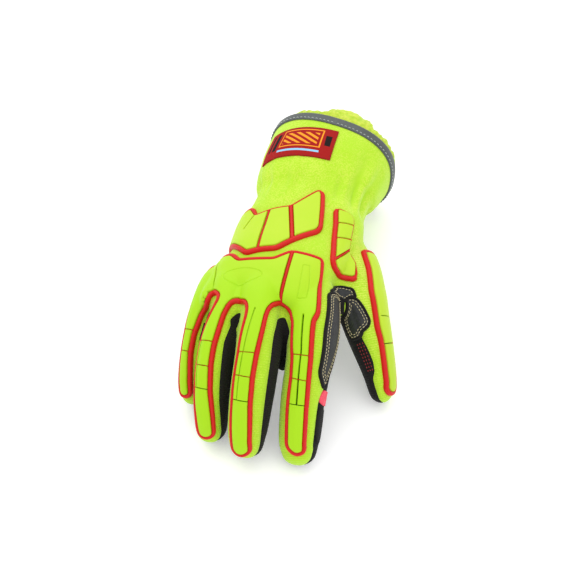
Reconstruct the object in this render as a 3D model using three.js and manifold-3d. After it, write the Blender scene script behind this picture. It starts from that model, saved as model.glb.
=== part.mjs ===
// Insulated work glove for the right hand, lying palm down, with moulded impact pads on its back.
// Millimetres. +Z is up, the fingers point to -Y, the cuff opens to +Y and the thumb points to +X.
import * as THREE from 'three';
import { mergeVertices } from 'three/addons/utils/BufferGeometryUtils.js';
import Module from 'manifold-3d';

const wasm = await Module();
wasm.setup();

// Driving dimensions
const WALL = 3; // outer cloth, foam and lining together
const GAP = 0.3; // clearance between neighbouring pieces
const RIM_TOP = 3; // red moulded edges of the pads, above the cloth
const RIM_WIDE = 2.2; // their width
const SEAT = 0.4; // foot of what lies on the rounded cloth of the digits
const PAD_TOP = 4; // lime pads, above the cloth
const PAD_WEB = 2.4; // what is left of a pad under its grooves, above the cloth
const GROOVE = 1.6; // width of a pad's grooves
const LEATHER = 1.6; // saddle patches and fingertip patch, above the cloth
const LABEL = 1; // woven label, above the cloth
const WRIST = 5; // spans of the hand's facets from the rim to the seam between cuff and hand
const BINDING_WIDE = 7; // tape that wraps the rim
const TAPE = 1; // its thickness
const LINING_OUT = 7; // pile lining that stands out of the mouth
const LINING = 2.4; // its thickness
const GATHERS = { count: 10, deep: 0.9, at: 52, reach: 9 }; // small folds over the wrist elastic
const PLATE_STEP = 9; // longest stretch of a curved plate without a bend

// Sections of the hand and cuff, from the rim to the knuckles. x, y, z is the section's centre,
// wide its half width, up and down its half heights towards the back and the palm, and roll the
// angle in degrees by which the back leans towards the little finger.
const SECTION = ['x', 'y', 'z', 'wide', 'up', 'down', 'roll'];
const HAND_ROWS = [
  [-4.5, 125, 39.5, 45.8, 36.5, 37, 0],
  [-4.8, 104, 44.5, 45.6, 34, 35, 0],
  [-5.5, 86, 48, 43.5, 29, 31, 1],
  [-4, 74, 49.5, 39.2, 24, 26, 2],
  [-3.5, 64, 50.5, 39.8, 22.5, 25, 3],
  [-4, 46, 52, 41, 22, 26, 4],
  [-5, 28, 54, 42, 22, 28, 6],
  [-7, 10, 57, 41.5, 22.5, 29, 8],
  [-10.5, -8, 58.5, 42.5, 22, 26, 9],
  [-12.5, -24, 58.5, 42.5, 19, 21, 9],
];
const WEB_ROWS = [
  [18, 26, 50, 16, 13, 16, 6],
  [31, 6, 51, 15, 12, 15, 4],
  [38, -9, 49, 12.5, 10, 12, 0],
];
const INDEX_ROWS = [
  [22, -8, 60, 15, 15, 16, 8],
  [26.5, -28, 62, 17, 16, 18, 8],
  [30.4, -43.7, 59.5, 17, 16, 17.5, 10],
  [33, -59, 53.5, 15.8, 15.5, 16, 12],
  [35.6, -80.8, 38, 14.6, 15, 15, 12],
  [39.4, -101, 20, 13.2, 13.5, 13.5, 12],
  [41, -107, 14.5, 11.6, 12, 13.4, 12],
];
const MIDDLE_ROWS = [
  [-11, -12, 61.5, 13.2, 16, 16, 14],
  [-8, -33, 65, 13.8, 17, 17, 15],
  [-3.4, -50.7, 63, 14.4, 17, 17, 16],
  [0.9, -70, 56, 14.4, 16.5, 16.5, 17],
  [3.6, -90, 42, 14.2, 16, 16, 18],
  [5.4, -107, 26, 12.8, 14.5, 14.5, 18],
  [6.2, -113.5, 18, 11.2, 12.5, 12.5, 18],
];
const RING_ROWS = [
  [-32.6, -12, 57, 10.8, 14, 14, 20],
  [-30.8, -31.3, 59, 11.2, 15, 15, 20],
  [-27.6, -53, 55, 11.6, 15, 15, 21],
  [-25.2, -72.4, 47, 11.6, 14.6, 14.8, 22],
  [-24, -89, 35.5, 11.4, 14, 14.2, 23],
  [-22.6, -103, 21.5, 10.6, 12.8, 13, 24],
  [-21.8, -108, 15, 9.8, 11.3, 14.2, 24],
];
const LITTLE_ROWS = [
  [-44.5, -8, 50, 8.2, 10.4, 11, 26],
  [-46.6, -25, 51, 8.6, 10.6, 11.4, 26],
  [-45.2, -44.9, 46, 8.8, 10.6, 11.4, 28],
  [-44, -62, 36.5, 8.6, 10.2, 11.2, 28],
  [-42.8, -77, 23.5, 8.2, 9.8, 10.8, 30],
  [-42, -84, 15, 7.6, 9, 10.2, 30],
];
const THUMB_ROWS = [
  [17, 46, 46, 16, 14, 17, -30],
  [35.5, 27, 46.5, 18.5, 14, 19.5, -38],
  [49, 8, 43.5, 17.6, 11.5, 18, -48],
  [58, -7, 38, 15.8, 10, 17, -54],
  [66, -19, 32, 15, 9.4, 16, -58],
  [76.2, -34, 22, 13.6, 8.8, 14.4, -58],
  [82, -42.5, 14.6, 11.6, 8, 14.4, -58],
];

// Each digit's sections and dome, the facets from the middle of its back to its two side seams, and
// the spans of its length inside the hand before its wall starts.
const DIGITS = {
  index: { rows: INDEX_ROWS, tip: 9.5, left: -3, right: 2, foot: 0.5 },
  middle: { rows: MIDDLE_ROWS, tip: 9.5, left: -3, right: 2, foot: 1 },
  ring: { rows: RING_ROWS, tip: 9, left: -3, right: 2, foot: 0.4 },
  little: { rows: LITTLE_ROWS, tip: 8.5, left: -3, right: 2, foot: 0.4 },
  thumb: { rows: THUMB_ROWS, tip: 10, left: -3, right: 3, foot: 0 },
};

// Pads of the digits. edges gives, at distances along the digit, the left and right edges of the
// pad in millimetres from the middle of the back. cuts are the cross grooves, and groove runs
// lengthwise at its share of the width.
const PADS = {
  index: {
    edges: [[30, -10.5, 4], [50, -8, 5.6], [66, -5.6, 7.4], [86, -5.8, 7.8], [108, -5.3, 7.6], [124, -5, 7.6]],
    start: 54, end: 117, cuts: [66.2, 82], groove: { from: 50, to: 82, share: 0.5 },
  },
  middle: {
    edges: [[40, -5.2, 7.7], [56, -7.5, 6.2], [72, -7.6, 6.2], [88, -6.8, 7], [112, -5.3, 8.2], [126, -5, 8.2]],
    start: 60.5, end: 122.5, cuts: [72, 87], groove: { from: 56, to: 87, share: 0.35 },
  },
  ring: {
    edges: [[40, -9, 4.6], [52, -9, 3.5], [66, -8.8, 3.8], [82, -7, 5.6], [103, -4, 8.4], [116, -3.5, 8.4]],
    start: 55.5, end: 112.5, cuts: [68, 81.4],
  },
  little: {
    edges: [[30, -6, 5], [44, -6.2, 3], [60, -6.2, 2.7], [78, -5.2, 4.6], [92, -4.6, 5]],
    start: 47.5, end: 88, cuts: [58.9],
  },
  thumb: {
    edges: [[24, 3.8, 16], [34, 2.6, 15], [45, -1.5, 12.5], [62, -5, 9.6], [81, -7.8, 7.2], [96, -9, 6],
      [110, -9.6, 4.6], [126, -8.4, 4.6]],
    start: 27, end: 121, cuts: [67.6, 85.6],
  },
};
const FINGERS = ['index', 'middle', 'ring', 'little'];
const ROUND_END = [[5.5, 0.97], [2.2, 0.76], [0.3, 0.3]]; // distance before the end, share of the width

// Plan outlines of the panels on the back, [x, y] along the middle of their red edges.
const HAND_PANELS = [
  [[-44, -9], [-41.5, -33], [-45, -38], [-44.5, -46], [-43, -58], [-51.5, -59.5], [-54.5, -46], [-55, -30],
    [-53, -16], [-48, -10]],
  [[-44, -9], [-39, -6], [-33, -10], [-9, -5], [2, 4], [5, -34.5], [1, -40], [0, -48], [0, -60], [2.5, -76],
    [-11, -77.5], [-12.5, -66], [-13, -54], [-16, -45.5], [-22, -40.5], [-27.5, -43], [-30, -50], [-30, -58],
    [-29.5, -70], [-39.5, -71.5], [-39, -62], [-38, -50], [-37, -42], [-41.5, -33]],
  [[2, 4], [21, 4], [25, 0], [28, -18], [31, -28], [31.5, -42], [33, -52], [36.5, -64.5], [22.5, -67.5],
    [19, -51], [16, -42], [12, -36.5], [5, -34.5]],
];
const WRIST_PANELS = [
  [[-36, 34], [-38, 21], [-38, 0], [-42, 3], [-44, 14], [-42.5, 28], [-39.5, 38]],
  [[-25.5, 39.5], [-22.5, 1], [-28, -2.5], [-38, 0], [-38, 21], [-36, 34]],
  [[-12, 46.5], [-2, 16.5], [-10, 6.5], [-22.5, 1], [-25.5, 39.5]],
  [[1, 64], [5, 66.5], [8.5, 62], [13, 34], [11, 28], [-2, 16.5], [-12, 46.5]],
];
const BASE_PANELS = [
  [[19, 53], [22.5, 43], [33.5, 47], [29.5, 54]],
  [[22.5, 43], [26.5, 29], [35.5, 35], [33.5, 47]],
  [[26.5, 29], [30, 11], [36.5, 26], [35.5, 35]],
  [[30, 11], [35, 4.5], [44.5, 8], [46, 13], [43, 21], [36.5, 26]],
];

// Patches laid on the cloth: distance along the limb and angle in degrees at each row's two ends.
const EDGE = ['leftAlong', 'left', 'rightAlong', 'right'];
const SADDLE_INDEX = [[14, 44, 14, 98], [35, 40, 35, 99], [50, 40, 50, 96], [61, 45, 61, 88], [68, 60, 68, 78]];
const SADDLE_THUMB = [[54, -98, 54, -58], [60, -112, 60, -46], [70, -122, 70, -42], [76, -122, 76, -62],
  [79, -116, 79, -92]];
const TIP_PATCH = [[82, 64, 82, 84], [90, 62, 90, 92], [100, 62, 100, 92], [110, 66, 110, 82]];
const LABEL_EDGES = [[20.5, -57, 12.5, 4], [31, -60, 26, 6], [41, -63, 37.5, 8]];

const DOME_TURNS = [0.6, 1.12]; // radians from a dome's foot to its rings
const SIDE_SEAM = 6; // facets from the middle of the back to the seams at the palm
const FLOOR_REACH = 400; // side of the block that flattens what rests
const COLUMN_FOOT = 54; // the columns that trim the panels start inside the hand
const COLUMN_TOP = 95; // and end above it
const REST = 3; // height, in the frame of the tables, of the surface that the glove lies on
const CENTRE_X = 18.3; // middle of the whole glove in the frame of the tables
const CENTRE_Y = 5.8;

function table(names, rows) {
  return rows.map((row) => Object.fromEntries(names.map((name, i) => [name, row[i]])));
}

// A limb is a padded tube along a smooth line through its sections. Each section is a flattened
// ring, and a tip length closes the limb's far end with a dome.
class Limb {
  constructor(rows, power, tip, sides, spans) {
    const list = table(SECTION, rows);
    const through = (pick) => new THREE.CatmullRomCurve3(list.map(pick), false, 'catmullrom', 0.5);
    this.line = through((r) => new THREE.Vector3(r.x, r.y, r.z));
    this.line.arcLengthDivisions = 400;
    this.sizes = through((r) => new THREE.Vector3(r.wide, r.up, r.down));
    this.rolls = through((r) => new THREE.Vector3(r.roll, 0, 0));
    this.length = this.line.getLength();
    this.power = power;
    this.tip = tip;
    this.sides = sides;
    this.turn = 360 / sides;
    this.span = this.length / spans;
    this.spans = spans;
  }

  // The section's centre, directions and half sizes at a distance along the limb.
  section(along, grow) {
    const reach = THREE.MathUtils.clamp(along, 0, this.length);
    const t = this.line.getUtoTmapping(reach / this.length);
    const forward = this.line.getTangent(t);
    const flat = new THREE.Vector3(0, 0, 1).cross(forward).normalize();
    const above = forward.clone().cross(flat);
    const roll = THREE.MathUtils.degToRad(this.rolls.getPoint(t).x);
    const back = above.clone().multiplyScalar(Math.cos(roll)).addScaledVector(flat, -Math.sin(roll));
    const side = flat.clone().multiplyScalar(Math.cos(roll)).addScaledVector(above, Math.sin(roll));
    const past = along > reach ? ((along - reach) * (this.tip + grow)) / this.tip : along - reach;
    const dome = past > 0 ? Math.sqrt(Math.max(0, 1 - (past / (this.tip + grow)) ** 2)) : 1;
    const size = this.sizes.getPoint(t).addScalar(grow).multiplyScalar(dome);
    return { centre: this.line.getPoint(t).addScaledVector(forward, past), side, back, size };
  }

  // A point of the surface grown by some millimetres. Angle 0 is the middle of the back, and a
  // quarter turn is the side nearest the thumb.
  point(along, angle, grow) {
    const { centre, side, back, size } = this.section(along, grow);
    size.addScalar(this.fold(along, angle));
    const curve = (value) => Math.sign(value) * Math.abs(value) ** (2 / this.power);
    const across = size.x * curve(Math.sin(angle));
    const height = curve(Math.cos(angle)) * (Math.cos(angle) > 0 ? size.y : size.z);
    return centre.clone().addScaledVector(side, across).addScaledVector(back, height);
  }

  // The height of the gathers, which only the hand and cuff have.
  fold(along, angle) {
    if (!this.gathers) return 0;
    const { count, deep, at, reach } = this.gathers;
    return deep * Math.cos(count * angle) * Math.exp(-(((along - at) / reach) ** 2));
  }

  // The angle of a point of the back that lies some millimetres to the side of its middle.
  angleOf(along, across) {
    const ratio = THREE.MathUtils.clamp(across / this.section(along, 0).size.x, -1, 1);
    return Math.sign(ratio) * Math.asin(Math.abs(ratio) ** (this.power / 2));
  }

  // Distances of the rings from one end to the other, on one grid along the limb, so that all its
  // solids have the same facets. The dome's rings follow where it is reached.
  rings(from, to) {
    const grid = Array.from({ length: this.spans + 1 }, (_, i) => i * this.span);
    const list = [from, ...grid.filter((along) => along > from + 0.1 && along < to - 0.1)];
    if (to <= this.length) list.push(to);
    else for (const turn of DOME_TURNS) list.push(this.length + this.tip * Math.sin(turn));
    return list;
  }

  // The closed solid between two distances, grown by some millimetres.
  solid(grow, from = 0, to = Infinity) {
    const { sides } = this;
    const points = [];
    const faces = [];
    const rings = this.rings(from, to);
    for (const along of rings) {
      for (let j = 0; j < sides; j += 1) points.push(this.point(along, (2 * Math.PI * j) / sides, grow));
    }
    for (let i = 0; i + 1 < rings.length; i += 1) {
      for (let j = 0; j < sides; j += 1) {
        const a = i * sides + j;
        const b = i * sides + ((j + 1) % sides);
        faces.push([a, b, b + sides], [a, b + sides, a + sides]);
      }
    }
    const start = points.push(this.section(from, grow).centre) - 1;
    const end = points.push(this.section(rings.at(-1), grow).centre) - 1;
    if (to > this.length) {
      const whole = this.section(this.length + this.tip, grow);
      points[end] = whole.centre;
    }
    const lastRing = (rings.length - 1) * sides;
    for (let j = 0; j < sides; j += 1) {
      faces.push([start, (j + 1) % sides, j], [end, lastRing + j, lastRing + ((j + 1) % sides)]);
    }
    return solidOf(points, faces);
  }

  // A curved plate over the cloth. Each edge row gives, at its left and right ends, a distance
  // along the limb and an angle in degrees. The plate reaches from one height to another.
  plate(edges, low, high, columns = 3, ready = false) {
    const rows = ready ? edges : refine(edges);
    const points = [];
    const faces = [];
    const stride = columns + 1;
    const layer = rows.length * stride;
    for (const grow of [low, high]) {
      for (const row of rows) {
        for (let j = 0; j <= columns; j += 1) {
          const along = THREE.MathUtils.lerp(row.leftAlong, row.rightAlong, j / columns);
          const angle = THREE.MathUtils.lerp(row.left, row.right, j / columns);
          points.push(this.point(along, THREE.MathUtils.degToRad(angle), grow));
        }
      }
    }
    const rim = [];
    for (let j = 0; j < columns; j += 1) rim.push(j);
    for (let i = 0; i + 1 < rows.length; i += 1) rim.push(i * stride + columns);
    for (let j = columns; j > 0; j -= 1) rim.push((rows.length - 1) * stride + j);
    for (let i = rows.length - 1; i > 0; i -= 1) rim.push(i * stride);
    for (let i = 0; i + 1 < rows.length; i += 1) {
      for (let j = 0; j < columns; j += 1) {
        const a = i * stride + j;
        faces.push([a, a + stride, a + stride + 1], [a, a + stride + 1, a + 1]);
        const b = layer + a;
        faces.push([b, b + stride + 1, b + stride], [b, b + 1, b + stride + 1]);
      }
    }
    rim.forEach((a, k) => {
      const b = rim[(k + 1) % rim.length];
      faces.push([a, b, layer + b], [a, layer + b, layer + a]);
    });
    return solidOf(points, faces);
  }

  // A stretch of the padded wall between two seams, from a distance to the tip of the dome. The
  // wall that closes the dome runs to its pole, and its neighbour stops just short of it.
  wall(left, right, from, closes = true) {
    const rings = this.rings(from, Infinity);
    rings.push(this.length + this.tip * (closes ? 1 : 0.97));
    const rows = rings.map((along) => ({ leftAlong: along, left, rightAlong: along, right }));
    return this.plate(rows, -WALL, 0, Math.round((right - left) / this.turn), true);
  }

  // A band right round the limb, from a closed profile of distances along it and heights above
  // its cloth.
  band(profile) {
    const points = [];
    const faces = [];
    for (const [along, grow] of profile) {
      for (let j = 0; j < this.sides; j += 1) {
        points.push(this.point(along, THREE.MathUtils.degToRad(j * this.turn), grow));
      }
    }
    profile.forEach((_, i) => {
      const next = (i + 1) % profile.length;
      for (let j = 0; j < this.sides; j += 1) {
        const k = (j + 1) % this.sides;
        const [a, b] = [i * this.sides + j, i * this.sides + k];
        const [c, d] = [next * this.sides + k, next * this.sides + j];
        faces.push([a, b, c], [a, c, d]);
      }
    });
    return solidOf(points, faces);
  }

  // A square bead along a line of distances and angles, between two heights above the cloth.
  bead(line, wide, low, high) {
    const feet = line.map(({ along, angle }) => this.point(along, THREE.MathUtils.degToRad(angle), low));
    const tops = line.map(({ along, angle }) => this.point(along, THREE.MathUtils.degToRad(angle), high));
    const points = [];
    const faces = [];
    feet.forEach((foot, i) => {
      const ahead = feet[Math.min(i + 1, feet.length - 1)].clone().sub(feet[Math.max(i - 1, 0)]);
      const outward = tops[i].clone().sub(foot);
      const aside = ahead.cross(outward).normalize().multiplyScalar(wide / 2);
      points.push(foot.clone().add(aside), foot.clone().sub(aside));
      points.push(tops[i].clone().sub(aside), tops[i].clone().add(aside));
    });
    for (let i = 0; i + 1 < feet.length; i += 1) {
      for (let j = 0; j < 4; j += 1) {
        const [a, b] = [4 * i + j, 4 * i + ((j + 1) % 4)];
        faces.push([a, b, b + 4], [a, b + 4, a + 4]);
      }
    }
    const last = 4 * (feet.length - 1);
    faces.push([0, 2, 1], [0, 3, 2], [last, last + 1, last + 2], [last, last + 2, last + 3]);
    return solidOf(points, faces);
  }

  // Edge rows from millimetres to the left and right of the middle of the back.
  edgesAcross(rows, grow) {
    return rows.map(({ along, left, right }) => ({
      leftAlong: along,
      rightAlong: along,
      left: THREE.MathUtils.radToDeg(this.angleOf(along, left - grow)),
      right: THREE.MathUtils.radToDeg(this.angleOf(along, right + grow)),
    }));
  }
}

// Adds rows between the given ones, so that no stretch is longer than the plate's step.
function refine(edges) {
  const rows = [edges[0]];
  for (let i = 1; i < edges.length; i += 1) {
    const [a, b] = [edges[i - 1], edges[i]];
    const steps = Math.ceil(Math.abs(b.leftAlong - a.leftAlong) / PLATE_STEP) || 1;
    for (let k = 1; k <= steps; k += 1) {
      const mix = (name) => THREE.MathUtils.lerp(a[name], b[name], k / steps);
      rows.push({
        leftAlong: mix('leftAlong'), left: mix('left'), rightAlong: mix('rightAlong'), right: mix('right'),
      });
    }
  }
  return rows;
}

// Joins shared corners, turns the faces outwards and hands the closed mesh to the solid library.
function solidOf(points, faces) {
  const geometry = new THREE.BufferGeometry();
  geometry.setAttribute('position', new THREE.Float32BufferAttribute(points.flatMap((p) => p.toArray()), 3));
  geometry.setIndex(faces.flat());
  return solidFrom(geometry);
}

function solidFrom(source) {
  const bare = source.clone();
  bare.deleteAttribute('normal');
  bare.deleteAttribute('uv');
  const merged = mergeVertices(bare, 1e-5);
  const vertProperties = new Float32Array(merged.attributes.position.array);
  const kept = [];
  for (let i = 0; i < merged.index.count; i += 3) {
    const [a, b, c] = merged.index.array.slice(i, i + 3);
    if (a !== b && b !== c && c !== a) kept.push(a, b, c);
  }
  const triVerts = new Uint32Array(kept);
  for (let i = 0; volumeOf(vertProperties, triVerts) < 0 && i < triVerts.length; i += 3) {
    if (i === 0) flip(triVerts);
  }
  return new wasm.Manifold(new wasm.Mesh({ numProp: 3, vertProperties, triVerts }));
}

function volumeOf(vertices, triangles) {
  let sum = 0;
  const [a, b, c] = [new THREE.Vector3(), new THREE.Vector3(), new THREE.Vector3()];
  for (let i = 0; i < triangles.length; i += 3) {
    a.fromArray(vertices, 3 * triangles[i]);
    b.fromArray(vertices, 3 * triangles[i + 1]);
    c.fromArray(vertices, 3 * triangles[i + 2]);
    sum += a.dot(b.cross(c)) / 6;
  }
  return sum;
}

function flip(triangles) {
  for (let i = 0; i < triangles.length; i += 3) {
    [triangles[i + 1], triangles[i + 2]] = [triangles[i + 2], triangles[i + 1]];
  }
}

// A closed solid straight up through a plan outline, grown sideways by some millimetres.
function column(outline, grow) {
  const count = outline.length;
  const corners = outline.map(([x, y]) => new THREE.Vector2(x, y));
  const turn = THREE.ShapeUtils.isClockWise(corners) ? -1 : 1;
  const grown = corners.map((corner, i) => {
    const before = corner.clone().sub(corners[(i + count - 1) % count]).normalize();
    const after = corners[(i + 1) % count].clone().sub(corner).normalize();
    const out = new THREE.Vector2(before.y + after.y, -before.x - after.x).multiplyScalar(turn);
    const stretch = Math.max(0.5, 1 + before.dot(after));
    return corner.clone().addScaledVector(out, grow / stretch);
  });
  const shape = new THREE.Shape(grown);
  const depth = COLUMN_TOP - COLUMN_FOOT;
  return solidFrom(new THREE.ExtrudeGeometry(shape, { depth, bevelEnabled: false }).translate(0, 0, COLUMN_FOOT));
}

function largest(solid) {
  return solid.decompose().sort((a, b) => b.volume() - a.volume())[0];
}

const hand = new Limb(HAND_ROWS, 2.4, 9, 20, 12);
const wrist = WRIST * hand.span;
hand.gathers = GATHERS;
const web = new Limb(WEB_ROWS, 2.2, 8, 10, 3);
const digits = {};
for (const [name, spec] of Object.entries(DIGITS)) {
  digits[name] = new Limb(spec.rows, 2.15, spec.tip, 12, 7);
}

// The whole glove's skin grown by some millimetres, which the panels on the back follow.
function skin(grow) {
  let whole = hand.solid(grow).add(web.solid(grow));
  for (const digit of Object.values(digits)) whole = whole.add(digit.solid(grow));
  return whole;
}

const materials = {
  lime: new THREE.MeshStandardMaterial({ color: 0xc8f03c, roughness: 0.85 }),
  limeRubber: new THREE.MeshStandardMaterial({ color: 0xcdf550, roughness: 0.5 }),
  red: new THREE.MeshStandardMaterial({ color: 0xf0402e, roughness: 0.5 }),
  black: new THREE.MeshStandardMaterial({ color: 0x1c1812, roughness: 0.9 }),
  leather: new THREE.MeshStandardMaterial({ color: 0x34373a, roughness: 0.7 }),
  tape: new THREE.MeshStandardMaterial({ color: 0x5d6163, roughness: 0.4 }),
  label: new THREE.MeshStandardMaterial({ color: 0xc8281e, roughness: 0.8 }),
};

const group = new THREE.Group();
group.position.set(-CENTRE_X, -CENTRE_Y, -REST);

const floor = solidFrom(new THREE.BoxGeometry(FLOOR_REACH, FLOOR_REACH, FLOOR_REACH)
  .translate(0, 0, REST - FLOOR_REACH / 2));

function addMesh(name, solid, material) {
  const { vertProperties, triVerts } = largest(solid.subtract(floor)).getMesh();
  const geometry = new THREE.BufferGeometry();
  geometry.setAttribute('position', new THREE.Float32BufferAttribute(vertProperties, 3));
  geometry.setIndex(Array.from(triVerts));
  const mesh = new THREE.Mesh(geometry, material);
  mesh.name = name;
  group.add(mesh);
}

// Hand and cuff: one padded wall, parted at the wrist and along both sides of the hand. The web
// between thumb and index finger belongs to the palm.
function addHand() {
  const hollow = hand.solid(-WALL, -20).add(web.solid(-WALL));
  const rings = Array.from({ length: WRIST + 1 }, (_, i) => i * hand.span);
  const outside = rings.map((along) => [along, 0]);
  const inside = rings.map((along) => [along, -WALL]).reverse();
  const cuff = hand.band([...outside, ...inside]);
  addMesh('cuff', cuff, materials.lime);
  const slit = GAP * 1.5;
  const seam = SIDE_SEAM * hand.turn;
  let back = hand.wall(-seam + slit, seam - slit, wrist + GAP);
  let palm = hand.wall(seam + slit, 360 - seam - slit, wrist + GAP, false);
  back = back.subtract(web.solid(GAP));
  const webWall = web.solid(0).subtract(hand.solid(-WALL / 2));
  palm = palm.add(webWall).subtract(web.solid(-WALL));
  for (const [name, spec] of Object.entries(DIGITS)) {
    const hole = digits[name].solid(GAP, spec.foot * digits[name].span - GAP);
    back = back.subtract(hole);
    palm = palm.subtract(hole);
  }
  addMesh('hand_back', back, materials.lime);
  addMesh('hand_palm', palm, materials.black);
  return hollow;
}

// Fingers and thumb: closed padded tubes, parted into a lime back and a black front with its strips.
function addDigits(hollow) {
  let before = null;
  for (const [name, spec] of Object.entries(DIGITS)) {
    const digit = digits[name];
    const [left, right] = [spec.left * digit.turn, spec.right * digit.turn];
    const slit = GAP * 2;
    const foot = spec.foot * digit.span;
    let back = digit.wall(left + slit, right - slit, foot).subtract(hollow);
    let front = digit.wall(right + slit, 360 + left - slit, foot, false).subtract(hollow);
    if (before) {
      back = back.subtract(before.solid(GAP));
      front = front.subtract(before.solid(GAP));
    }
    const title = name === 'thumb' ? ['thumb_back', 'thumb_front'] : [`finger_back_${name}`, `finger_front_${name}`];
    addMesh(title[0], back, materials.lime);
    addMesh(title[1], front, materials.black);
    before = digit;
  }
}

// Reflective tape that wraps the cuff's rim, and the pile lining that stands out of the mouth.
function addRim() {
  const [under, over] = [GAP, GAP + TAPE];
  addMesh('cuff_binding', hand.band([
    [BINDING_WIDE, under], [BINDING_WIDE, over], [-over, over], [-over, -WALL - over],
    [BINDING_WIDE, -WALL - over], [BINDING_WIDE, -WALL - under], [-under, -WALL - under], [-under, under],
  ]), materials.tape);
  const outside = -WALL - over - GAP;
  addMesh('cuff_lining', hand.band([
    [-LINING_OUT, outside], [BINDING_WIDE + 2, outside],
    [BINDING_WIDE + 2, outside - LINING], [-LINING_OUT, outside - LINING],
  ]), materials.lime);
}

// The red edges of a region's panels, moulded in one piece, and the lime panels between them.
function addPanels(title, outlines, names, leadsTo = []) {
  let frame = null;
  for (const outline of outlines) {
    const plate = column(outline, RIM_WIDE / 2);
    frame = frame ? frame.add(plate) : plate;
  }
  for (const outline of outlines) frame = frame.subtract(column(outline, -RIM_WIDE / 2));
  frame = frame.intersect(rimSkin).subtract(clothSkin);
  let pads = outlines.map((o) => column(o, -RIM_WIDE / 2 - GAP).intersect(padSkin).subtract(clothSkin));
  for (const name of leadsTo) {
    const { start } = PADS[name];
    const open = digits[name].plate(padRows(name, -RIM_WIDE / 2, start - 6, start + 5), -2, PAD_TOP + 2);
    const beyond = digits[name].plate(padRows(name, RIM_WIDE / 2 + GAP, start - GAP, start + 9), -2, PAD_TOP + 2);
    frame = frame.subtract(open).subtract(beyond);
    pads = pads.map((pad) => pad.subtract(beyond));
  }
  addMesh(`rim_${title}`, frame, materials.red);
  pads.forEach((pad, i) => addMesh(names[i], pad, materials.limeRubber));
}

// Where a digit's pad has its left and right edges at a distance along the digit.
function padAt(name, along) {
  const list = table(['along', 'left', 'right'], PADS[name].edges);
  const i = Math.max(1, list.findIndex((row) => row.along >= along));
  const [a, b] = [list[i - 1], list[i]];
  const share = (along - a.along) / (b.along - a.along);
  return { along, left: a.left + (b.left - a.left) * share, right: a.right + (b.right - a.right) * share };
}

// Edge rows of a stretch of a digit's pad, grown sideways by some millimetres.
function padRows(name, grow, from, to) {
  const inner = table(['along', 'left', 'right'], PADS[name].edges);
  const between = inner.filter((row) => row.along > from + 4 && row.along < to - 4);
  return digits[name].edgesAcross([padAt(name, from), ...between, padAt(name, to)], grow);
}

// The rows of the pad's rounded end.
function padEnd(name, grow) {
  const { end } = PADS[name];
  return digits[name].edgesAcross(ROUND_END.map(([before, share]) => {
    const { left, right } = padAt(name, end);
    const [middle, half] = [(left + right) / 2, ((right - left) / 2 + grow) * share];
    return { along: end + grow - before, left: middle - half, right: middle + half };
  }), 0);
}

// The long pad of a finger or of the thumb with its red edge, grooved across and along.
function addPad(name) {
  const digit = digits[name];
  const { cuts, start, end, groove } = PADS[name];
  const line = refine([...padRows(name, 0, start, end - 9), ...padEnd(name, 0)]);
  const down = line.map((row) => ({ along: row.leftAlong, angle: row.left }));
  const up = line.map((row) => ({ along: row.rightAlong, angle: row.right })).reverse();
  addMesh(`rim_${name}`, digit.bead([...down, ...up], RIM_WIDE, SEAT, RIM_TOP), materials.red);
  const inset = -RIM_WIDE / 2 - GAP;
  let pad = digit.plate([...padRows(name, inset, start, end - 9), ...padEnd(name, inset)], SEAT, PAD_TOP);
  for (const cut of cuts) {
    const bar = padRows(name, 1, cut - GROOVE / 2, cut + GROOVE / 2);
    pad = pad.subtract(digit.plate(bar, PAD_WEB, PAD_TOP + 2));
  }
  if (groove) {
    const strip = [groove.from, groove.to].map((along) => {
      const { left, right } = padAt(name, along);
      const middle = left + groove.share * (right - left);
      return { along, left: middle - GROOVE / 2, right: middle + GROOVE / 2 };
    });
    pad = pad.subtract(digit.plate(digit.edgesAcross(strip, 0), PAD_WEB, PAD_TOP + 2, 1));
  }
  addMesh(`pad_${name}`, pad, materials.limeRubber);
}

// Patches that are laid on the cloth: leather saddle, fingertip patch and woven label.
function addPatch(name, limb, edges, top, material, near = []) {
  let patch = limb.plate(table(EDGE, edges), SEAT, top, 5);
  for (const other of near) patch = patch.subtract(other.solid(GAP));
  addMesh(name, patch, material);
}

const clothSkin = skin(GAP);
const rimSkin = skin(RIM_TOP);
const padSkin = skin(PAD_TOP);
const hollow = addHand();
addDigits(hollow);
addRim();
addPanels('wrist', WRIST_PANELS, WRIST_PANELS.map((_, i) => `pad_wrist_${i + 1}`));
addPanels('hand', HAND_PANELS, ['pad_hand_side', 'pad_hand_left', 'pad_hand_right'], FINGERS);
addPanels('thumb_base', BASE_PANELS, BASE_PANELS.map((_, i) => `pad_thumb_base_${i + 1}`));
for (const name of Object.keys(PADS)) addPad(name);
addPatch('saddle_index', digits.index, SADDLE_INDEX, LEATHER, materials.leather, [web]);
addPatch('saddle_thumb', digits.thumb, SADDLE_THUMB, LEATHER, materials.leather, [web, hand]);
addPatch('tip_patch_index', digits.index, TIP_PATCH, LEATHER, materials.black);
addPatch('label', hand, LABEL_EDGES, LABEL, materials.label);

export default group;
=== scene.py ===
# An insulated high-visibility work glove for the right hand, lying palm down, seen on its back.
import math

import bmesh
import bpy
import numpy as np
from mathutils import Matrix, Vector, noise
from mathutils.bvhtree import BVHTree


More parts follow.
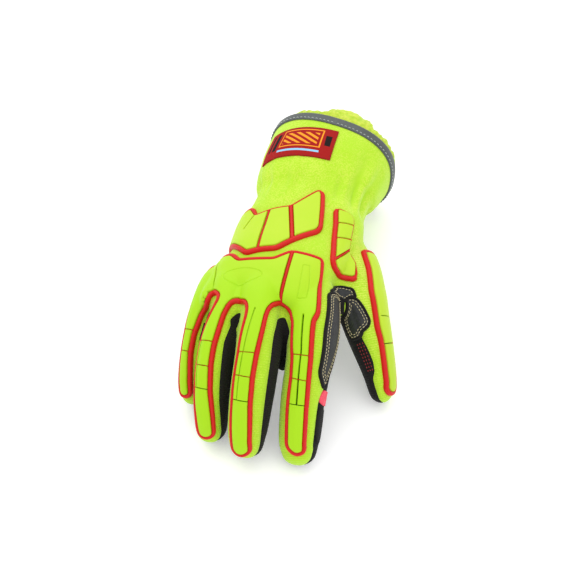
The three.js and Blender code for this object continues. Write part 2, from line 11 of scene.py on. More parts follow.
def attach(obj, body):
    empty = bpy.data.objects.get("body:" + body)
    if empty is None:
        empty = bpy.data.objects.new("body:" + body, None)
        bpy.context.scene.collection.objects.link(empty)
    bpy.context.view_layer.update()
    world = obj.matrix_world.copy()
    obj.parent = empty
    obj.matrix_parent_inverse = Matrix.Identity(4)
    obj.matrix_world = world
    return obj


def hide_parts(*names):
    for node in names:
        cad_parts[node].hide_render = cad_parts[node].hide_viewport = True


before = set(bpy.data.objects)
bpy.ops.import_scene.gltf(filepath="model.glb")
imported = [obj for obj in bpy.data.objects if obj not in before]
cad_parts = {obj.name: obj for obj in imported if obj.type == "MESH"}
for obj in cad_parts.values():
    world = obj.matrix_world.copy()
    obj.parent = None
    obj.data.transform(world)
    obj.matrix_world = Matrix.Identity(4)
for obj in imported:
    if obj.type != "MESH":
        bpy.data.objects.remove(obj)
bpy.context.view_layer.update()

# Camera
# The glove is seen from above its fingertips, as in the photograph, whose frame is 576 pixels wide.
MM = 0.001
TABLES_AT = np.array([-18.3, -5.8, -3.0])  # mm, where the origin of the rows below lies
FRAME = 576
VIEW_AZIMUTH = math.radians(17)
VIEW_HEIGHT = math.radians(55)
VIEW_DISTANCE = 1.3
VIEW_AIM = Vector((0, 0, 45) + TABLES_AT) * MM
view_back = Vector((math.sin(VIEW_AZIMUTH) * math.cos(VIEW_HEIGHT),
                    -math.cos(VIEW_AZIMUTH) * math.cos(VIEW_HEIGHT),
                    math.sin(VIEW_HEIGHT)))
view_right = Vector((math.cos(VIEW_AZIMUTH), math.sin(VIEW_AZIMUTH), 0))
view_up = view_back.cross(view_right)
lens = bpy.data.cameras.new("camera")
lens.sensor_width = 36
lens.lens = 116.07
camera = bpy.data.objects.new("camera", lens)
bpy.context.scene.collection.objects.link(camera)
camera.matrix_world = Matrix((view_right, view_up, view_back)).transposed().to_4x4()
camera.location = VIEW_AIM + view_back * VIEW_DISTANCE
bpy.context.scene.camera = camera

# Limbs of the glove
# The glove is sewn round a hand: a cuff and hand, a web between thumb and index finger, and five
# digits. Each is a padded tube along a smooth line. The rows give its sections in millimetres:
# x, y, z of the middle, half width, half height to the back and to the palm, and roll in degrees.
HAND_ROWS = [
    [-3.2, 125, 39.5, 47.3, 36.5, 36.5, 0],
    [-4.8, 104, 44.5, 45.6, 34, 35, 0],
    [-5.5, 86, 48, 43.5, 29, 31, 1],
    [-4, 74, 49.5, 39.2, 24, 26, 2],
    [-3.5, 64, 50.5, 39.8, 22.5, 25, 3],
    [-2.4, 46, 52, 42.8, 22, 26, 4],
    [-4, 28, 54, 41, 22, 28, 6],
    [-4.8, 10, 57, 39.4, 22.5, 29, 8],
    [-7.6, -8, 58.5, 39.6, 22, 26, 9],
    [-10.4, -24, 58.5, 40.4, 19, 21, 9],
]
WEB_ROWS = [
    [18, 26, 50, 16, 13, 16, 6],
    [31, 6, 51, 15, 12, 15, 4],
    [38, -9, 49, 12.5, 10, 12, 0],
]
INDEX_ROWS = [
    [22, -8, 60, 15, 15, 16, 8],
    [26.5, -28, 62, 17, 16, 18, 8],
    [30.4, -43.7, 59.5, 17, 16, 17.5, 10],
    [33, -59, 53.5, 15.8, 15.5, 16, 12],
    [35.1, -80.8, 38, 15, 15, 15, 12],
    [38.7, -101, 20, 14, 13.5, 13.5, 12],
    [40.6, -107, 14.5, 12.2, 12, 13.4, 12],
]
MIDDLE_ROWS = [
    [-11, -12, 61.5, 13.2, 16, 16, 14],
    [-8, -33, 65, 13.8, 17, 17, 15],
    [-3.8, -50.7, 63, 14.6, 17, 17, 16],
    [-0.4, -70, 56, 14.9, 16.5, 16.5, 17],
    [2, -90, 42, 14.6, 16, 16, 18],
    [4.2, -107, 26, 13.2, 14.5, 14.5, 18],
    [5.4, -113.5, 18, 11.4, 12.5, 12.5, 18],
]
RING_ROWS = [
    [-32.6, -12, 57, 10.8, 14, 14, 20],
    [-30.8, -31.3, 59, 11.2, 15, 15, 20],
    [-28.6, -53, 55, 11.6, 15, 15, 21],
    [-27.4, -72.4, 47, 11.6, 14.6, 14.8, 22],
    [-25.6, -89, 35.5, 11.4, 14, 14.2, 23],
    [-23, -103, 21.5, 10.8, 12.8, 13, 24],
    [-21.8, -108, 15, 9.8, 11.3, 14.2, 24],
]
LITTLE_ROWS = [
    [-44.5, -8, 50, 8.2, 10.4, 11, 26],
    [-46.6, -25, 51, 8.6, 10.6, 11.4, 26],
    [-46.8, -44.9, 46, 8.8, 10.6, 11.4, 28],
    [-46, -62, 36.5, 8.6, 10.2, 11.2, 28],
    [-44.2, -77, 23.5, 8.2, 9.8, 10.8, 30],
    [-42.8, -84, 15, 7.6, 9, 10.2, 30],
]
THUMB_ROWS = [
    [21.5, 47, 46, 18.5, 14, 17, -30],
    [37, 28, 46.5, 19.5, 15.5, 19.5, -38],
    [50, 8, 43.5, 18.4, 14.5, 18, -48],
    [58.6, -7, 38, 16.2, 13.4, 16.6, -54],
    [66.4, -19, 32, 15, 11.6, 14.6, -58],
    [76.2, -34, 22, 13.2, 8.8, 11, -58],
    [81, -42.5, 14.6, 11.2, 7.4, 9, -58],
]

# The cloth that joins two fingers at their roots, the length of its rounded end, the distance along at
# which its black part begins, and that part's half width and how far to the thumb's side it lies.
CROTCHES = [
    {"rows": [[8, -14, 57, 8, 13, 14, 8], [10, -28, 57, 8, 14, 14, 9], [11, -38, 56, 7.5, 14.5, 13, 10],
              [12.6, -49, 47, 6, 8, 10, 12], [13.6, -56, 39, 5, 6, 9, 12]],
     "tip": 7, "black": 22.5, "half": 4.5, "middle": 0.8},
    {"rows": [[-19, -18, 59, 7, 14, 14, 14], [-20, -32, 59, 7, 15, 14, 15],
              [-21, -42.5, 58, 6.5, 16, 13, 16]],
     "tip": 8, "black": 27, "half": 4, "middle": 5.2},
    {"rows": [[-39, -14, 53, 6, 13, 13, 20], [-40, -28, 54, 6, 14, 13, 22],
              [-40.8, -37.5, 54, 5.5, 15, 12, 24]],
     "tip": 6, "black": 16, "half": 0.7, "middle": 0},
]


class Limb:
    """A padded tube. Angle 0 is the middle of its back, a quarter turn the side nearest the thumb."""

    def __init__(self, rows, power, tip):
        rows = np.array(rows, float)
        rows[:, :3] += TABLES_AT
        knots = np.vstack([2 * rows[0] - rows[1], rows, 2 * rows[-1] - rows[-2]])
        fine = []
        for a, b, c, d in zip(knots, knots[1:], knots[2:], knots[3:]):
            for t in np.linspace(0, 1, 40, endpoint=False):
                bend = (c - a) * t + (2 * a - 5 * b + 4 * c - d) * t**2 + (3 * b - a - 3 * c + d) * t**3
                fine.append(b + bend / 2)
        fine = np.array([*fine, rows[-1]])
        steps = np.linalg.norm(np.diff(fine[:, :3], axis=0), axis=1)
        reached = np.concatenate([[0], np.cumsum(steps)])
        self.length = reached[-1]
        self.along = np.linspace(0, self.length, int(self.length / 1.2) + 2)
        self.rows = np.array([np.interp(self.along, reached, column) for column in fine.T]).T
        forward = np.gradient(self.rows[:, :3], self.along, axis=0)
        self.forward = forward / np.linalg.norm(forward, axis=1)[:, None]
        self.power = power
        self.tip = tip

    def section(self, along):
        """Centres, directions and half sizes of the sections at some distances along the limb."""
        reach = np.clip(along, 0, self.length)
        rows = np.array([np.interp(reach, self.along, column) for column in self.rows.T]).T
        forward = np.array([np.interp(reach, self.along, column) for column in self.forward.T]).T
        flat = np.cross([0, 0, 1], forward)
        flat /= np.linalg.norm(flat, axis=-1)[..., None]
        above = np.cross(forward, flat)
        roll = np.radians(rows[..., 6:7])
        back = above * np.cos(roll) - flat * np.sin(roll)
        side = flat * np.cos(roll) + above * np.sin(roll)
        past = np.asarray(along) - reach
        centre = rows[..., :3] + forward * past[..., None]
        dome = np.sqrt(np.clip(1 - (np.clip(past, 0, self.tip) / self.tip) ** 2, 0, 1))
        return centre, forward, side, back, rows[..., 3:6] * dome[..., None]

    def point(self, along, angle, grow=0.0):
        """Points of the surface, grown by some millimetres."""
        along, angle = np.broadcast_arrays(np.asarray(along, float), np.asarray(angle, float))
        centre, _, side, back, size = self.section(along)
        size = size + grow
        across, height = np.sin(angle), np.cos(angle)
        half = np.where(height > 0, size[..., 1], size[..., 2])
        across = size[..., 0] * np.sign(across) * np.abs(across) ** (2 / self.power)
        height = half * np.sign(height) * np.abs(height) ** (2 / self.power)
        return (centre + side * across[..., None] + back * height[..., None]) * MM

    def angle_of(self, along, across, up):
        """The angle of a point over the back, some millimetres up and to the side of its middle."""
        ratio = np.clip(across / (self.section(along)[4][..., 0] + up), -1, 1)
        return np.sign(ratio) * np.arcsin(np.abs(ratio) ** (self.power / 2))

    def chart(self, points):
        """Distance along, angle, and size as a share of the surface's, of points in metres."""
        points = points / MM
        line = self.rows[:, :3]
        near = np.argmin((line**2).sum(1) - 2 * points @ line.T, axis=1)
        along = self.along[near] + ((points - line[near]) * self.forward[near]).sum(1)
        reach = np.clip(along, 0, self.length)
        centre, _, side, back, size = self.section(reach)
        off = points - centre
        x = (off * side).sum(1) / size[:, 0]
        y = (off * back).sum(1)
        y = y / np.where(y > 0, size[:, 1], size[:, 2])
        half = self.power / 2
        angle = np.arctan2(np.sign(x) * np.abs(x) ** half, np.sign(y) * np.abs(y) ** half)
        share = (np.abs(x) ** self.power + np.abs(y) ** self.power) ** (1 / self.power)
        past = np.maximum(along - self.length, 0) / self.tip + np.maximum(-along, 0) / 4
        return along, angle, np.hypot(share, past)


hand = Limb(HAND_ROWS, 2.4, 9)
web = Limb(WEB_ROWS, 2.2, 8)
crotches = [Limb(crotch["rows"], 2.15, crotch["tip"]) for crotch in CROTCHES]
digits = {
    "index": Limb(INDEX_ROWS, 2.15, 9.5),
    "middle": Limb(MIDDLE_ROWS, 2.15, 9.5),
    "ring": Limb(RING_ROWS, 2.15, 9),
    "little": Limb(LITTLE_ROWS, 2.15, 8.5),
    "thumb": Limb(THUMB_ROWS, 2.15, 10),
}

# Form of the cloth
# The stuffed form that all cloth lies on: the limbs are lofted, melted into one skin and smoothed,
# so that the fingers run into the hand as sewn and padded cloth does.
VOXEL = 1.05  # mm
FORM_SMOOTH = 22  # rounds of smoothing
HAND_BLEND = 0.12  # share of a section over which the cuff's folds fade out at the digits
RIM_EXTRA = 8  # mm that the form runs on past the cuff's rim, which is then cut straight

FOLDS = [  # soft folds of the cuff: angle at its two ends, distance along, half width and depth
    {"angle": (18, 24), "along": (26, 66), "wide": 8, "deep": -1.9},
    {"angle": (40, 50), "along": (12, 72), "wide": 11, "deep": -3.2},
    {"angle": (66, 74), "along": (16, 70), "wide": 10, "deep": -3},
    {"angle": (54, 62), "along": (14, 62), "wide": 8, "deep": 1.0},
    {"angle": (-75, -70), "along": (30, 62), "wide": 9, "deep": -1.2},
    {"angle": (120, 118), "along": (20, 64), "wide": 11, "deep": -1.8},
    {"angle": (-130, -126), "along": (22, 66), "wide": 11, "deep": -1.8},
    {"angle": (170, 174), "along": (18, 60), "wide": 11, "deep": -1.5},
]
GATHER_AT = 53  # mm from the rim, where the elastic gathers the wrist
# mm of fold depth at which the painted shade of a fold is at its darkest
FULL_SHADE_FOLD = 3  # mm deep


def add_loft(bm, rings, closed=False, capped=True):
    """Skins a row of rings of points, in a closed round or with capped or open ends."""
    count, sides = len(rings), len(rings[0])
    steps = count if closed else count - 1
    made = bmesh.ops.create_grid(bm, x_segments=sides, y_segments=steps, size=0.5)["verts"]
    for vert in made:
        ring, side = round((vert.co.y + 0.5) * steps), round((vert.co.x + 0.5) * sides)
        vert.co = rings[ring % count][side % sides]
    bmesh.ops.remove_doubles(bm, verts=made, dist=1e-7)
    if capped and not closed:
        ends = {edge for vert in made if vert.is_valid for edge in vert.link_edges if edge.is_boundary}
        bmesh.ops.holes_fill(bm, edges=list(ends), sides=0)


def add_tube(bm, limb, sides, start=0.0):
    """Lofts one limb from its start to the closed end of its dome."""
    turns = np.radians([20, 38, 54, 68, 79, 86])
    body = [*np.arange(start, limb.length, 3.5), limb.length, *(limb.length + limb.tip * np.sin(turns))]
    add_loft(bm, [limb.point(along, np.arange(sides) * 2 * math.pi / sides) for along in body])


def new_piece(name, bm):
    """Turns a bmesh into an object of the scene."""
    mesh = bpy.data.meshes.new(name)
    bm.to_mesh(mesh)
    bm.free()
    mesh.polygons.foreach_set("use_smooth", [True] * len(mesh.polygons))
    piece = bpy.data.objects.new(name, mesh)
    bpy.context.scene.collection.objects.link(piece)
    return piece


def finished(piece):
    """The mesh of a piece with its modifiers applied."""
    graph = bpy.context.evaluated_depsgraph_get()
    return bpy.data.meshes.new_from_object(piece.evaluated_get(graph))


form = bmesh.new()
add_tube(form, hand, 72, -RIM_EXTRA)
add_tube(form, web, 40)
for limb in [*digits.values(), *crotches]:
    add_tube(form, limb, 40)
bmesh.ops.recalc_face_normals(form, faces=form.faces[:])
block = new_piece("form", form)
melt = block.modifiers.new("melt", "REMESH")
melt.mode = "VOXEL"
melt.voxel_size = VOXEL * MM
skin = bmesh.new()
skin.from_mesh(finished(block))
bpy.data.objects.remove(block)
for _ in range(FORM_SMOOTH):
    bmesh.ops.smooth_vert(skin, verts=skin.verts[:], factor=0.5, use_axis_x=True, use_axis_y=True,
                          use_axis_z=True)


def places(bm):
    """The corners of a bmesh as an array, in metres."""
    return np.array([vert.co[:] for vert in bm.verts])


at = places(skin)
along, angle, share = hand.chart(at)
shares = np.array([share, *(digit.chart(at)[2] for digit in digits.values()), web.chart(at)[2]])
on_hand = np.clip((shares[1:].min(axis=0) - shares[0]) / HAND_BLEND + 0.5, 0, 1)
lift = np.zeros(len(at))
for fold in FOLDS:
    way = np.clip((along - fold["along"][0]) / (fold["along"][1] - fold["along"][0]), 0, 1)
    middle = fold["angle"][0] + (fold["angle"][1] - fold["angle"][0]) * way
    off = (np.degrees(angle) - middle + 180) % 360 - 180
    lift += fold["deep"] * np.exp(-((off / fold["wide"]) ** 2)) * np.sin(math.pi * way) ** 0.7
puckers = np.cos(17 * angle + 1.2 * np.sin(3 * angle)) * 0.8 + np.cos(29 * angle + 2) * 0.35
lift += puckers * np.exp(-(((along - GATHER_AT) / 10) ** 2))
skin.normal_update()
# Painted shade: each corner's fold depth is kept, and the knit is painted deeper and more saturated in the
# folds, in place of the shade and bounce light that falls there.
fold_shade = skin.verts.layers.float.new("fold_shade")
for vert, up in zip(skin.verts, lift * on_hand):
    vert.co += vert.normal * float(up) * MM
    vert[fold_shade] = min(max(-float(up) / FULL_SHADE_FOLD, 0), 1)

rim_at, rim_forward = (part[0] for part in hand.section(np.array([0.0]))[:2])
bmesh.ops.bisect_plane(
    skin, geom=skin.verts[:] + skin.edges[:] + skin.faces[:], plane_co=rim_at * MM, plane_no=rim_forward,
    clear_inner=True,
)
skin.normal_update()
cloth_tree = BVHTree.FromBMesh(skin)

# Cloth of the glove
# The back is cut in fluorescent lime knit over foam, and the palm, the finger sides and the inside of
# the thumb in black knit. They meet in seams along the fingers and the edge of the hand.
SEAMS = {  # degrees from the middle of the back to the left and right seam, at distances along
    "index": {"along": [0, 60, 80, 110], "left": [-92, -92, -92, -96], "right": [100, 96, 64, 60],
              "root": 44},
    "middle": {"along": [0, 38, 50, 90, 122], "left": [-92, -92, -92, -92, -96],
               "right": [64, 66, 62, 68, 78], "root": 37},
    "ring": {"along": [0, 36, 52, 90, 112], "left": [-92, -92, -92, -92, -96],
             "right": [58, 54, 43, 59, 80], "root": 35},
    "little": {"along": [0, 50, 90], "left": [-92, -92, -96], "right": [60, 62, 74], "root": 34},
    "thumb": {"along": [0, 60, 79.5, 88, 96, 102, 106, 117],
              "left": [-84, -86, -90, -81, -75, -78, -92, -87], "right": [96] * 8, "root": 36},
}
PALM_SEAM = 108  # degrees
PALM_FROM = 58  # mm along the hand, where the black palm begins
HAND_HALF = 34  # mm, mean half size of the hand's section
WEB_HALF = 14  # mm, mean half size of the web's section
FAR_OFF = -50  # mm, for points that a seam doesn't concern
SEAM_DEEP = 0.7  # mm that the cloth dips into a seam
SEAM_REACH = 1.6  # mm
SEAM_SMOOTH = 8  # rounds in which the seams' courses are evened
ROOT_ROUND = 2.6  # mm, how softly a side seam turns at the root of a finger


def black_side(at):
    """Millimetres by which points lie on the black side of the seams."""
    found = np.full(len(at), float(FAR_OFF))
    charts = {name: digit.chart(at) for name, digit in digits.items()}
    along, angle, share = hand.chart(at)
    palm = (np.abs(angle) - math.radians(PALM_SEAM)) * HAND_HALF
    palm = np.maximum(palm, FAR_OFF)
    palm[share > 1.3] = FAR_OFF
    palm[along < PALM_FROM] = FAR_OFF
    found = np.maximum(found, palm)
    along, angle, share = web.chart(at)
    under = (np.abs(angle) - math.radians(PALM_SEAM)) * WEB_HALF
    under[share > 1.2] = FAR_OFF
    found = np.maximum(found, under)
    for name, (along, angle, share) in charts.items():
        seam = SEAMS[name]
        left = np.radians(np.interp(along, seam["along"], seam["left"]))
        right = np.radians(np.interp(along, seam["along"], seam["right"]))
        size = digits[name].section(np.clip(along, 0, digits[name].length))[4]
        beyond = np.maximum(left - angle, angle - right) * size.mean(axis=1)
        start = along - seam["root"]
        side = -ROOT_ROUND * np.logaddexp(-beyond / ROOT_ROUND, -start / ROOT_ROUND)
        side[share > 1.2] = FAR_OFF
        others = [chart[2] for other, chart in charts.items() if other != name]
        side[share > np.min(others, axis=0) + 0.02] = FAR_OFF
        found = np.maximum(found, side)
    for crotch, limb in zip(CROTCHES, crotches):
        along, angle, share = limb.chart(at)
        across = share * np.sin(angle) * limb.section(np.clip(along, 0, limb.length))[4][:, 0]
        side = along - crotch["black"] - 5 * ((across - crotch["middle"]) / crotch["half"]) ** 2
        side[(share > 1.4) | (along < 0)] = FAR_OFF
        found = np.maximum(found, side)
    return found


def keep_side(bm, field):
    """Cuts a bmesh along the line where a field of its corners meets a value and keeps the upper side."""
    value = bm.verts.layers.float.new("field")
    for vert, number in zip(bm.verts, field):
        vert[value] = float(number)
    crossed = []
    for edge in bm.edges[:]:
        a, b = edge.verts
        if (a[value] > 0) != (b[value] > 0):
            share = a[value] / (a[value] - b[value])
            corner = bmesh.utils.edge_split(edge, a, min(max(share, 0.02), 0.98))[1]
            corner[value] = 0
            crossed.append(corner)
    bmesh.ops.connect_verts(bm, verts=crossed)
    gone = [face for face in bm.faces if sum(vert[value] for vert in face.verts) <= 0]
    bmesh.ops.delete(bm, geom=gone, context="FACES")
    bm.verts.layers.float.remove(value)


def colour(code):
    """An sRGB hex colour as the linear values that the shaders take."""
    parts = [int(code[i : i + 2], 16) / 255 for i in (1, 3, 5)]
    return [*(p / 12.92 if p <= 0.04045 else ((p + 0.055) / 1.055) ** 2.4 for p in parts), 1.0]


def node(tree, kind, settings=None, links=None):
    """Adds a node with its settings and its links, whose values are sockets or constants."""
    made = tree.nodes.new(kind)
    for name, value in (settings or {}).items():
        setattr(made, name, value)
    for name, value in (links or {}).items():
        if isinstance(value, bpy.types.NodeSocket):
            tree.links.new(value, made.inputs[name])
        else:
            made.inputs[name].default_value = value
    return made


def blank(name):
    """A material with an empty tree and its output."""
    made = bpy.data.materials.new(name)
    made.use_nodes = True
    made.node_tree.nodes.clear()
    return made, made.node_tree, made.node_tree.nodes.new("ShaderNodeOutputMaterial")


def knit(name, light, dark, sheen, rib_share):
    """Brushed polyester knit: fine wales with a soft, matt, slightly fuzzy face, and ribs on the digits.
    Its colour carries painted shade: deeper in the cuff's folds and towards the fingers, paler on the back
    of the hand.
    """
    made, tree, output = blank(name)
    place = node(tree, "ShaderNodeTexCoord").outputs["Object"]
    ribs_at = node(tree, "ShaderNodeAttribute", {"attribute_name": "course"}).outputs["Vector"]
    ribs = node(tree, "ShaderNodeTexWave", {"bands_direction": "X"},
                {"Vector": ribs_at, "Scale": 0.314 / (1.5 * MM), "Distortion": 0.3})
    mask = node(tree, "ShaderNodeAttribute", {"attribute_name": "ribbed"}).outputs["Fac"]
    ribbed = node(tree, "ShaderNodeMath", {"operation": "MULTIPLY"}, {0: ribs.outputs["Fac"], 1: mask})
    loops = node(tree, "ShaderNodeTexVoronoi", {}, {"Vector": place, "Scale": 1 / (1.1 * MM)})
    fuzz = node(tree, "ShaderNodeTexNoise", {}, {"Vector": place, "Scale": 1 / (0.8 * MM), "Detail": 3.0})
    cloud = node(tree, "ShaderNodeTexNoise", {}, {"Vector": place, "Scale": 1 / (22 * MM), "Detail": 2.0})
    tone = node(tree, "ShaderNodeMath", {"operation": "MULTIPLY_ADD"},
                {0: cloud.outputs["Fac"], 1: 0.9, 2: loops.outputs["Distance"]})
    rubbed = node(tree, "ShaderNodeMath", {"operation": "MULTIPLY_ADD"},
                  {0: ribbed.outputs[0], 1: -rib_share, 2: tone.outputs[0]})
    shade = node(tree, "ShaderNodeMapRange", {},
                 {"Value": rubbed.outputs[0], "From Min": 0.1, "From Max": 1.1})
    # Painted shade: the colour is mixed towards the deeper one in the cuff's folds.
    fold = node(tree, "ShaderNodeAttribute", {"attribute_name": "fold_shade"}).outputs["Fac"]
    # Painted shade and highlight: deeper towards the fingers, paler on the back of the hand, where light
    # from above falls.
    finger_shade = node(tree, "ShaderNodeAttribute", {"attribute_name": "shade_to_fingers"}).outputs["Fac"]
    tone_and_finger_shade = node(tree, "ShaderNodeMath", {"operation": "MULTIPLY_ADD"},
                  {0: finger_shade, 1: 0.6, 2: shade.outputs[0]})
    tone_and_shade = node(tree, "ShaderNodeMath", {"operation": "MAXIMUM"}, {0: fold, 1: tone_and_finger_shade.outputs[0]})
    paint = node(tree, "ShaderNodeMix", {"data_type": "RGBA"},
                 {"Factor": tone_and_shade.outputs[0], "A": colour(light), "B": colour(dark)})
    rough = node(tree, "ShaderNodeMath", {"operation": "MULTIPLY_ADD"},
                 {0: ribbed.outputs[0], 1: 1.6, 2: loops.outputs["Distance"]})
    height = node(tree, "ShaderNodeMath", {"operation": "MULTIPLY_ADD"},
                  {0: fuzz.outputs["Fac"], 1: 0.6, 2: rough.outputs[0]})
    bump = node(tree, "ShaderNodeBump", {},
                {"Height": height.outputs[0], "Strength": 0.5, "Distance": 0.25 * MM})
    shader = node(tree, "ShaderNodeBsdfPrincipled", {}, {
        "Base Color": paint.outputs["Result"], "Roughness": 0.9, "Sheen Weight": sheen,
        "Sheen Roughness": 0.5, "IOR": 1.45, "Normal": bump.outputs["Normal"],
    })
    tree.links.new(shader.outputs[0], output.inputs["Surface"])
    return made


# Fluorescent dye makes the lime brighter and yellower than other cloth, so its colours are nearly full.
# Each knit's deeper colour is partly random tone and partly painted shade, in the folds and towards the
# fingers.
lime_knit = knit("fluorescent_lime_polyester_knit", "#DAE65C", "#ACD820", 0.16, 0.5)
black_knit = knit("black_polyester_knit", "#14100C", "#080604", 0.02, 0.25)

SHADE_FROM = 112  # mm along the hand, where the painted shade that deepens the colours towards the fingers begins
SHADE_OVER = 56  # mm


def note_courses(bm):
    """Stores how far along its limb each corner lies, how ribbed it is, and how near the fingers, for the
    painted shade there.
    """
    at = places(bm)
    charts = [digit.chart(at) for digit in digits.values()]
    best = np.argmin([chart[2] for chart in charts], axis=0)
    along = np.choose(best, [chart[0] for chart in charts])
    near = hand.chart(at)
    ribbed = np.clip((near[2] - np.min([chart[2] for chart in charts], axis=0)) / 0.15, 0, 1)
    course = bm.verts.layers.float_vector.new("course")
    mask = bm.verts.layers.float.new("ribbed")
    # how near the fingers a corner lies, which the materials turn into painted shade
    ahead = bm.verts.layers.float.new("shade_to_fingers")
    for vert, reached in zip(bm.verts, np.clip((near[0] - SHADE_FROM) / SHADE_OVER, 0, 1)):
        vert[ahead] = reached
    for vert, distance, weight in zip(bm.verts, along, ribbed):
        vert[course] = (distance * MM, 0, 0)
        vert[mask] = weight


black = np.clip(black_side(places(skin)), -6, 6)
skin.verts.index_update()
pairs = np.array([[vert.index for vert in edge.verts] for edge in skin.edges]).T
around = np.bincount(pairs.ravel(), minlength=len(black))
for _ in range(SEAM_SMOOTH):
    summed = np.bincount(pairs.ravel(), black[pairs[::-1]].ravel(), len(black))
    black = (black + summed / around) / 2
dip = SEAM_DEEP * np.exp(-((black / SEAM_REACH) ** 2))
for vert, down in zip(skin.verts, dip):
    vert.co -= vert.normal * float(down) * MM
note_courses(skin)
for name, sign, material, slot, nodes in (
    ("cloth_back", -1, lime_knit, "lime_cloth",
     ["cuff", "hand_back", "thumb_back", *(f"finger_back_{n}" for n in digits if n != "thumb")]),
    ("cloth_palm", 1, black_knit, "black_cloth",
     ["hand_palm", "thumb_front", *(f"finger_front_{n}" for n in digits if n != "thumb")]),
):
    part = skin.copy()
    keep_side(part, sign * black)
    piece = new_piece(name, part)
    piece.data.materials.append(material)
    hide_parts(*nodes)
    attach(piece, "root")

# Lines that the moulded pads follow
# Red and lime parts are moulded as one and sewn on. Their outlines lie on the cloth: on the hand they
# are met on the cloth under the photograph's pixels, some with a share of the usual width, and on the
# digits they are given by distances along and across the digit, in millimetres: a pad's left and right
# edge at distances along it, where it ends, the cuts and scores across it and the groove along it.
PADS = {
    "index": {
        "edges": [[54, -7.5, 6], [66, -5.6, 7.4], [86, -5.8, 7.8], [108, -5.3, 7.6], [124, -5, 7.6]],
        "end": 115, "cuts": [51.8, 66.2], "scores": [82], "groove": [(29, -3.5), (50, -1.2), (82, 1.2)],
    },
    "middle": {
        "edges": [[60, -7.6, 6.2], [72, -7.6, 6.2], [88, -6.8, 7], [112, -5.3, 8.2], [126, -5, 8.2]],
        "end": 122.5, "cuts": [58.5, 72], "scores": [87],
        "groove": [(33, 1.4), (56, -2.6), (73, -2.8), (87, -2.2)],
    },
    "ring": {
        "edges": [[56, -8.9, 3.6], [66, -8.8, 3.8], [82, -7, 5.6], [103, -4, 8.4], [116, -3.5, 8.4]],
        "end": 112.5, "cuts": [53.7, 68], "scores": [81.4],
        "groove": [(54, -6), (68, -5.8), (81.4, -4.2)],
    },
    "little": {
        "edges": [[48, -6.2, 3], [60, -6.2, 2.7], [78, -5.2, 4.6], [92, -4.6, 5]],
        "end": 88, "cuts": [45.8, 58.9], "scores": [], "groove": [],
    },
    "thumb": {
        "edges": [[21, 3.8, 15.7], [34, 2.6, 15], [45, -1.5, 12.5], [62, -5, 9.6], [81, -7.8, 7.2],
                  [96, -9, 6], [110, -9.6, 4.6], [126, -8.4, 4.6]],
        "end": 118.5, "cuts": [], "scores": [67.6, 85.6], "groove": [],
    },
}
HAND_TOP = [(223.7, 258.6), (231.5, 254.2), (238.4, 259.6), (262.5, 258), (274.1, 257.9), (290, 251.5),
            (295, 251.6), (321.2, 259), (322.6, 262), (320.7, 282.7), (319, 303.2), (318, 313),
            (313.4, 319.4), (312.2, 328)]
ARCHES = {
    "index": [(292.2, 323), (291.3, 314), (287.1, 306.9), (280.8, 303.1), (273.3, 304), (268.2, 309.2),
              (265.4, 317.2)],
    "middle": [(245.3, 315), (246.5, 307), (244.6, 301), (238.4, 299.1), (232.1, 300.5), (227.7, 305),
               (223.4, 313.8)],
    "ring": [(213.6, 305), (216.8, 299), (217.8, 294), (215.2, 290.6), (211.6, 291.8), (208, 296.1),
             (204.5, 303.5), (201, 313.8), (196.5, 326)],
}
THUMB_LEFT = [(388.5, 383), (387, 372), (382.8, 340.8), (378.9, 327), (372.8, 290.3), (370.5, 268.8),
              (367.2, 258), (364.6, 250.5)]
LITTLE_SIDE = [(44, -6.6), (32, -7.4), (20, -8), (8, -8)]
HAND_DIVIDERS = [{"line": [(223.4, 259.5), (214.7, 288.5)], "wide": 0.9},
                 {"line": [(292.4, 252), (280.8, 303)], "wide": 2.8}]
WRIST_EDGE = [(251.4, 208.4, 0.9), (255.4, 215.5, 0.7), (270.5, 209.3, 0.6), (277.7, 207.5, 0.6),
              (291.1, 205.7, 0.6), (316.1, 191.4, 0.6), (320.1, 190.5, 0.7), (322.8, 193.4),
              (322.3, 206.8), (320.5, 226.4), (317, 230.4), (293.8, 237.6), (275.9, 246.5),
              (258.9, 247.9), (245.5, 251.4), (231.6, 246)]
WRIST_SIDE = [(119, -96), (106, -100), (91, -94)]  # distance along the hand and degrees from its middle
WRIST_DIVIDERS = [
    {"line": [(254, 216.6), (244.4, 230.5)], "wide": 0.9},
    {"line": [(269.2, 210.8), (257.6, 247.4)], "wide": 2.2},
    {"line": [(290.9, 205.9), (292.1, 237.5)], "wide": 3.4},
]
BASE_EDGE = [(336.5, 209.9), (339.5, 208.8, 0.5), (351, 214, 0.25), (354.6, 220, 0.25), (354, 227, 0.25),
             (351.4, 238.2, 0.25), (349.4, 250.4, 0.25), (356, 262, 0.25), (356.8, 273.7, 0.6),
             (354.5, 278.3), (340.7, 275.2), (336.1, 268.1), (334.1, 259.6), (335, 241.3), (336.5, 222.9)]
BASE_DIVIDERS = [
    {"line": [(337.6, 222.9), (353.6, 226)], "wide": 0.9},
    {"line": [(336.6, 237.9), (351.6, 240.2)], "wide": 0.9},
    {"line": [(334.5, 259.6), (349.2, 250)], "wide": 1.9},
]
CORNER = 2.4  # mm that a corner of a moulded line is rounded over
LINE_STEP = 0.8  # mm between the points of a line
LINE_UP = 2.3  # mm over the cloth at which the outlines are given
# mm from a line's middle to the lime, and the half width and height of what lies in it: the red edge,
# a cut through to the red, a score, and the long grooves of the index and the middle and ring finger
EDGE = {"half": 1.4, "bead": (1.95, 2.9)}
CUT = {"half": 0.28, "bead": (0.5, 2.9)}
SCORE = {"half": 0.3, "bead": (0.6, 1.9)}
DEEP_GROOVE = {"half": 0.5, "bead": (0.8, 1.4)}
LOW_GROOVE = {"half": 0.35, "bead": (0.8, 2.7)}


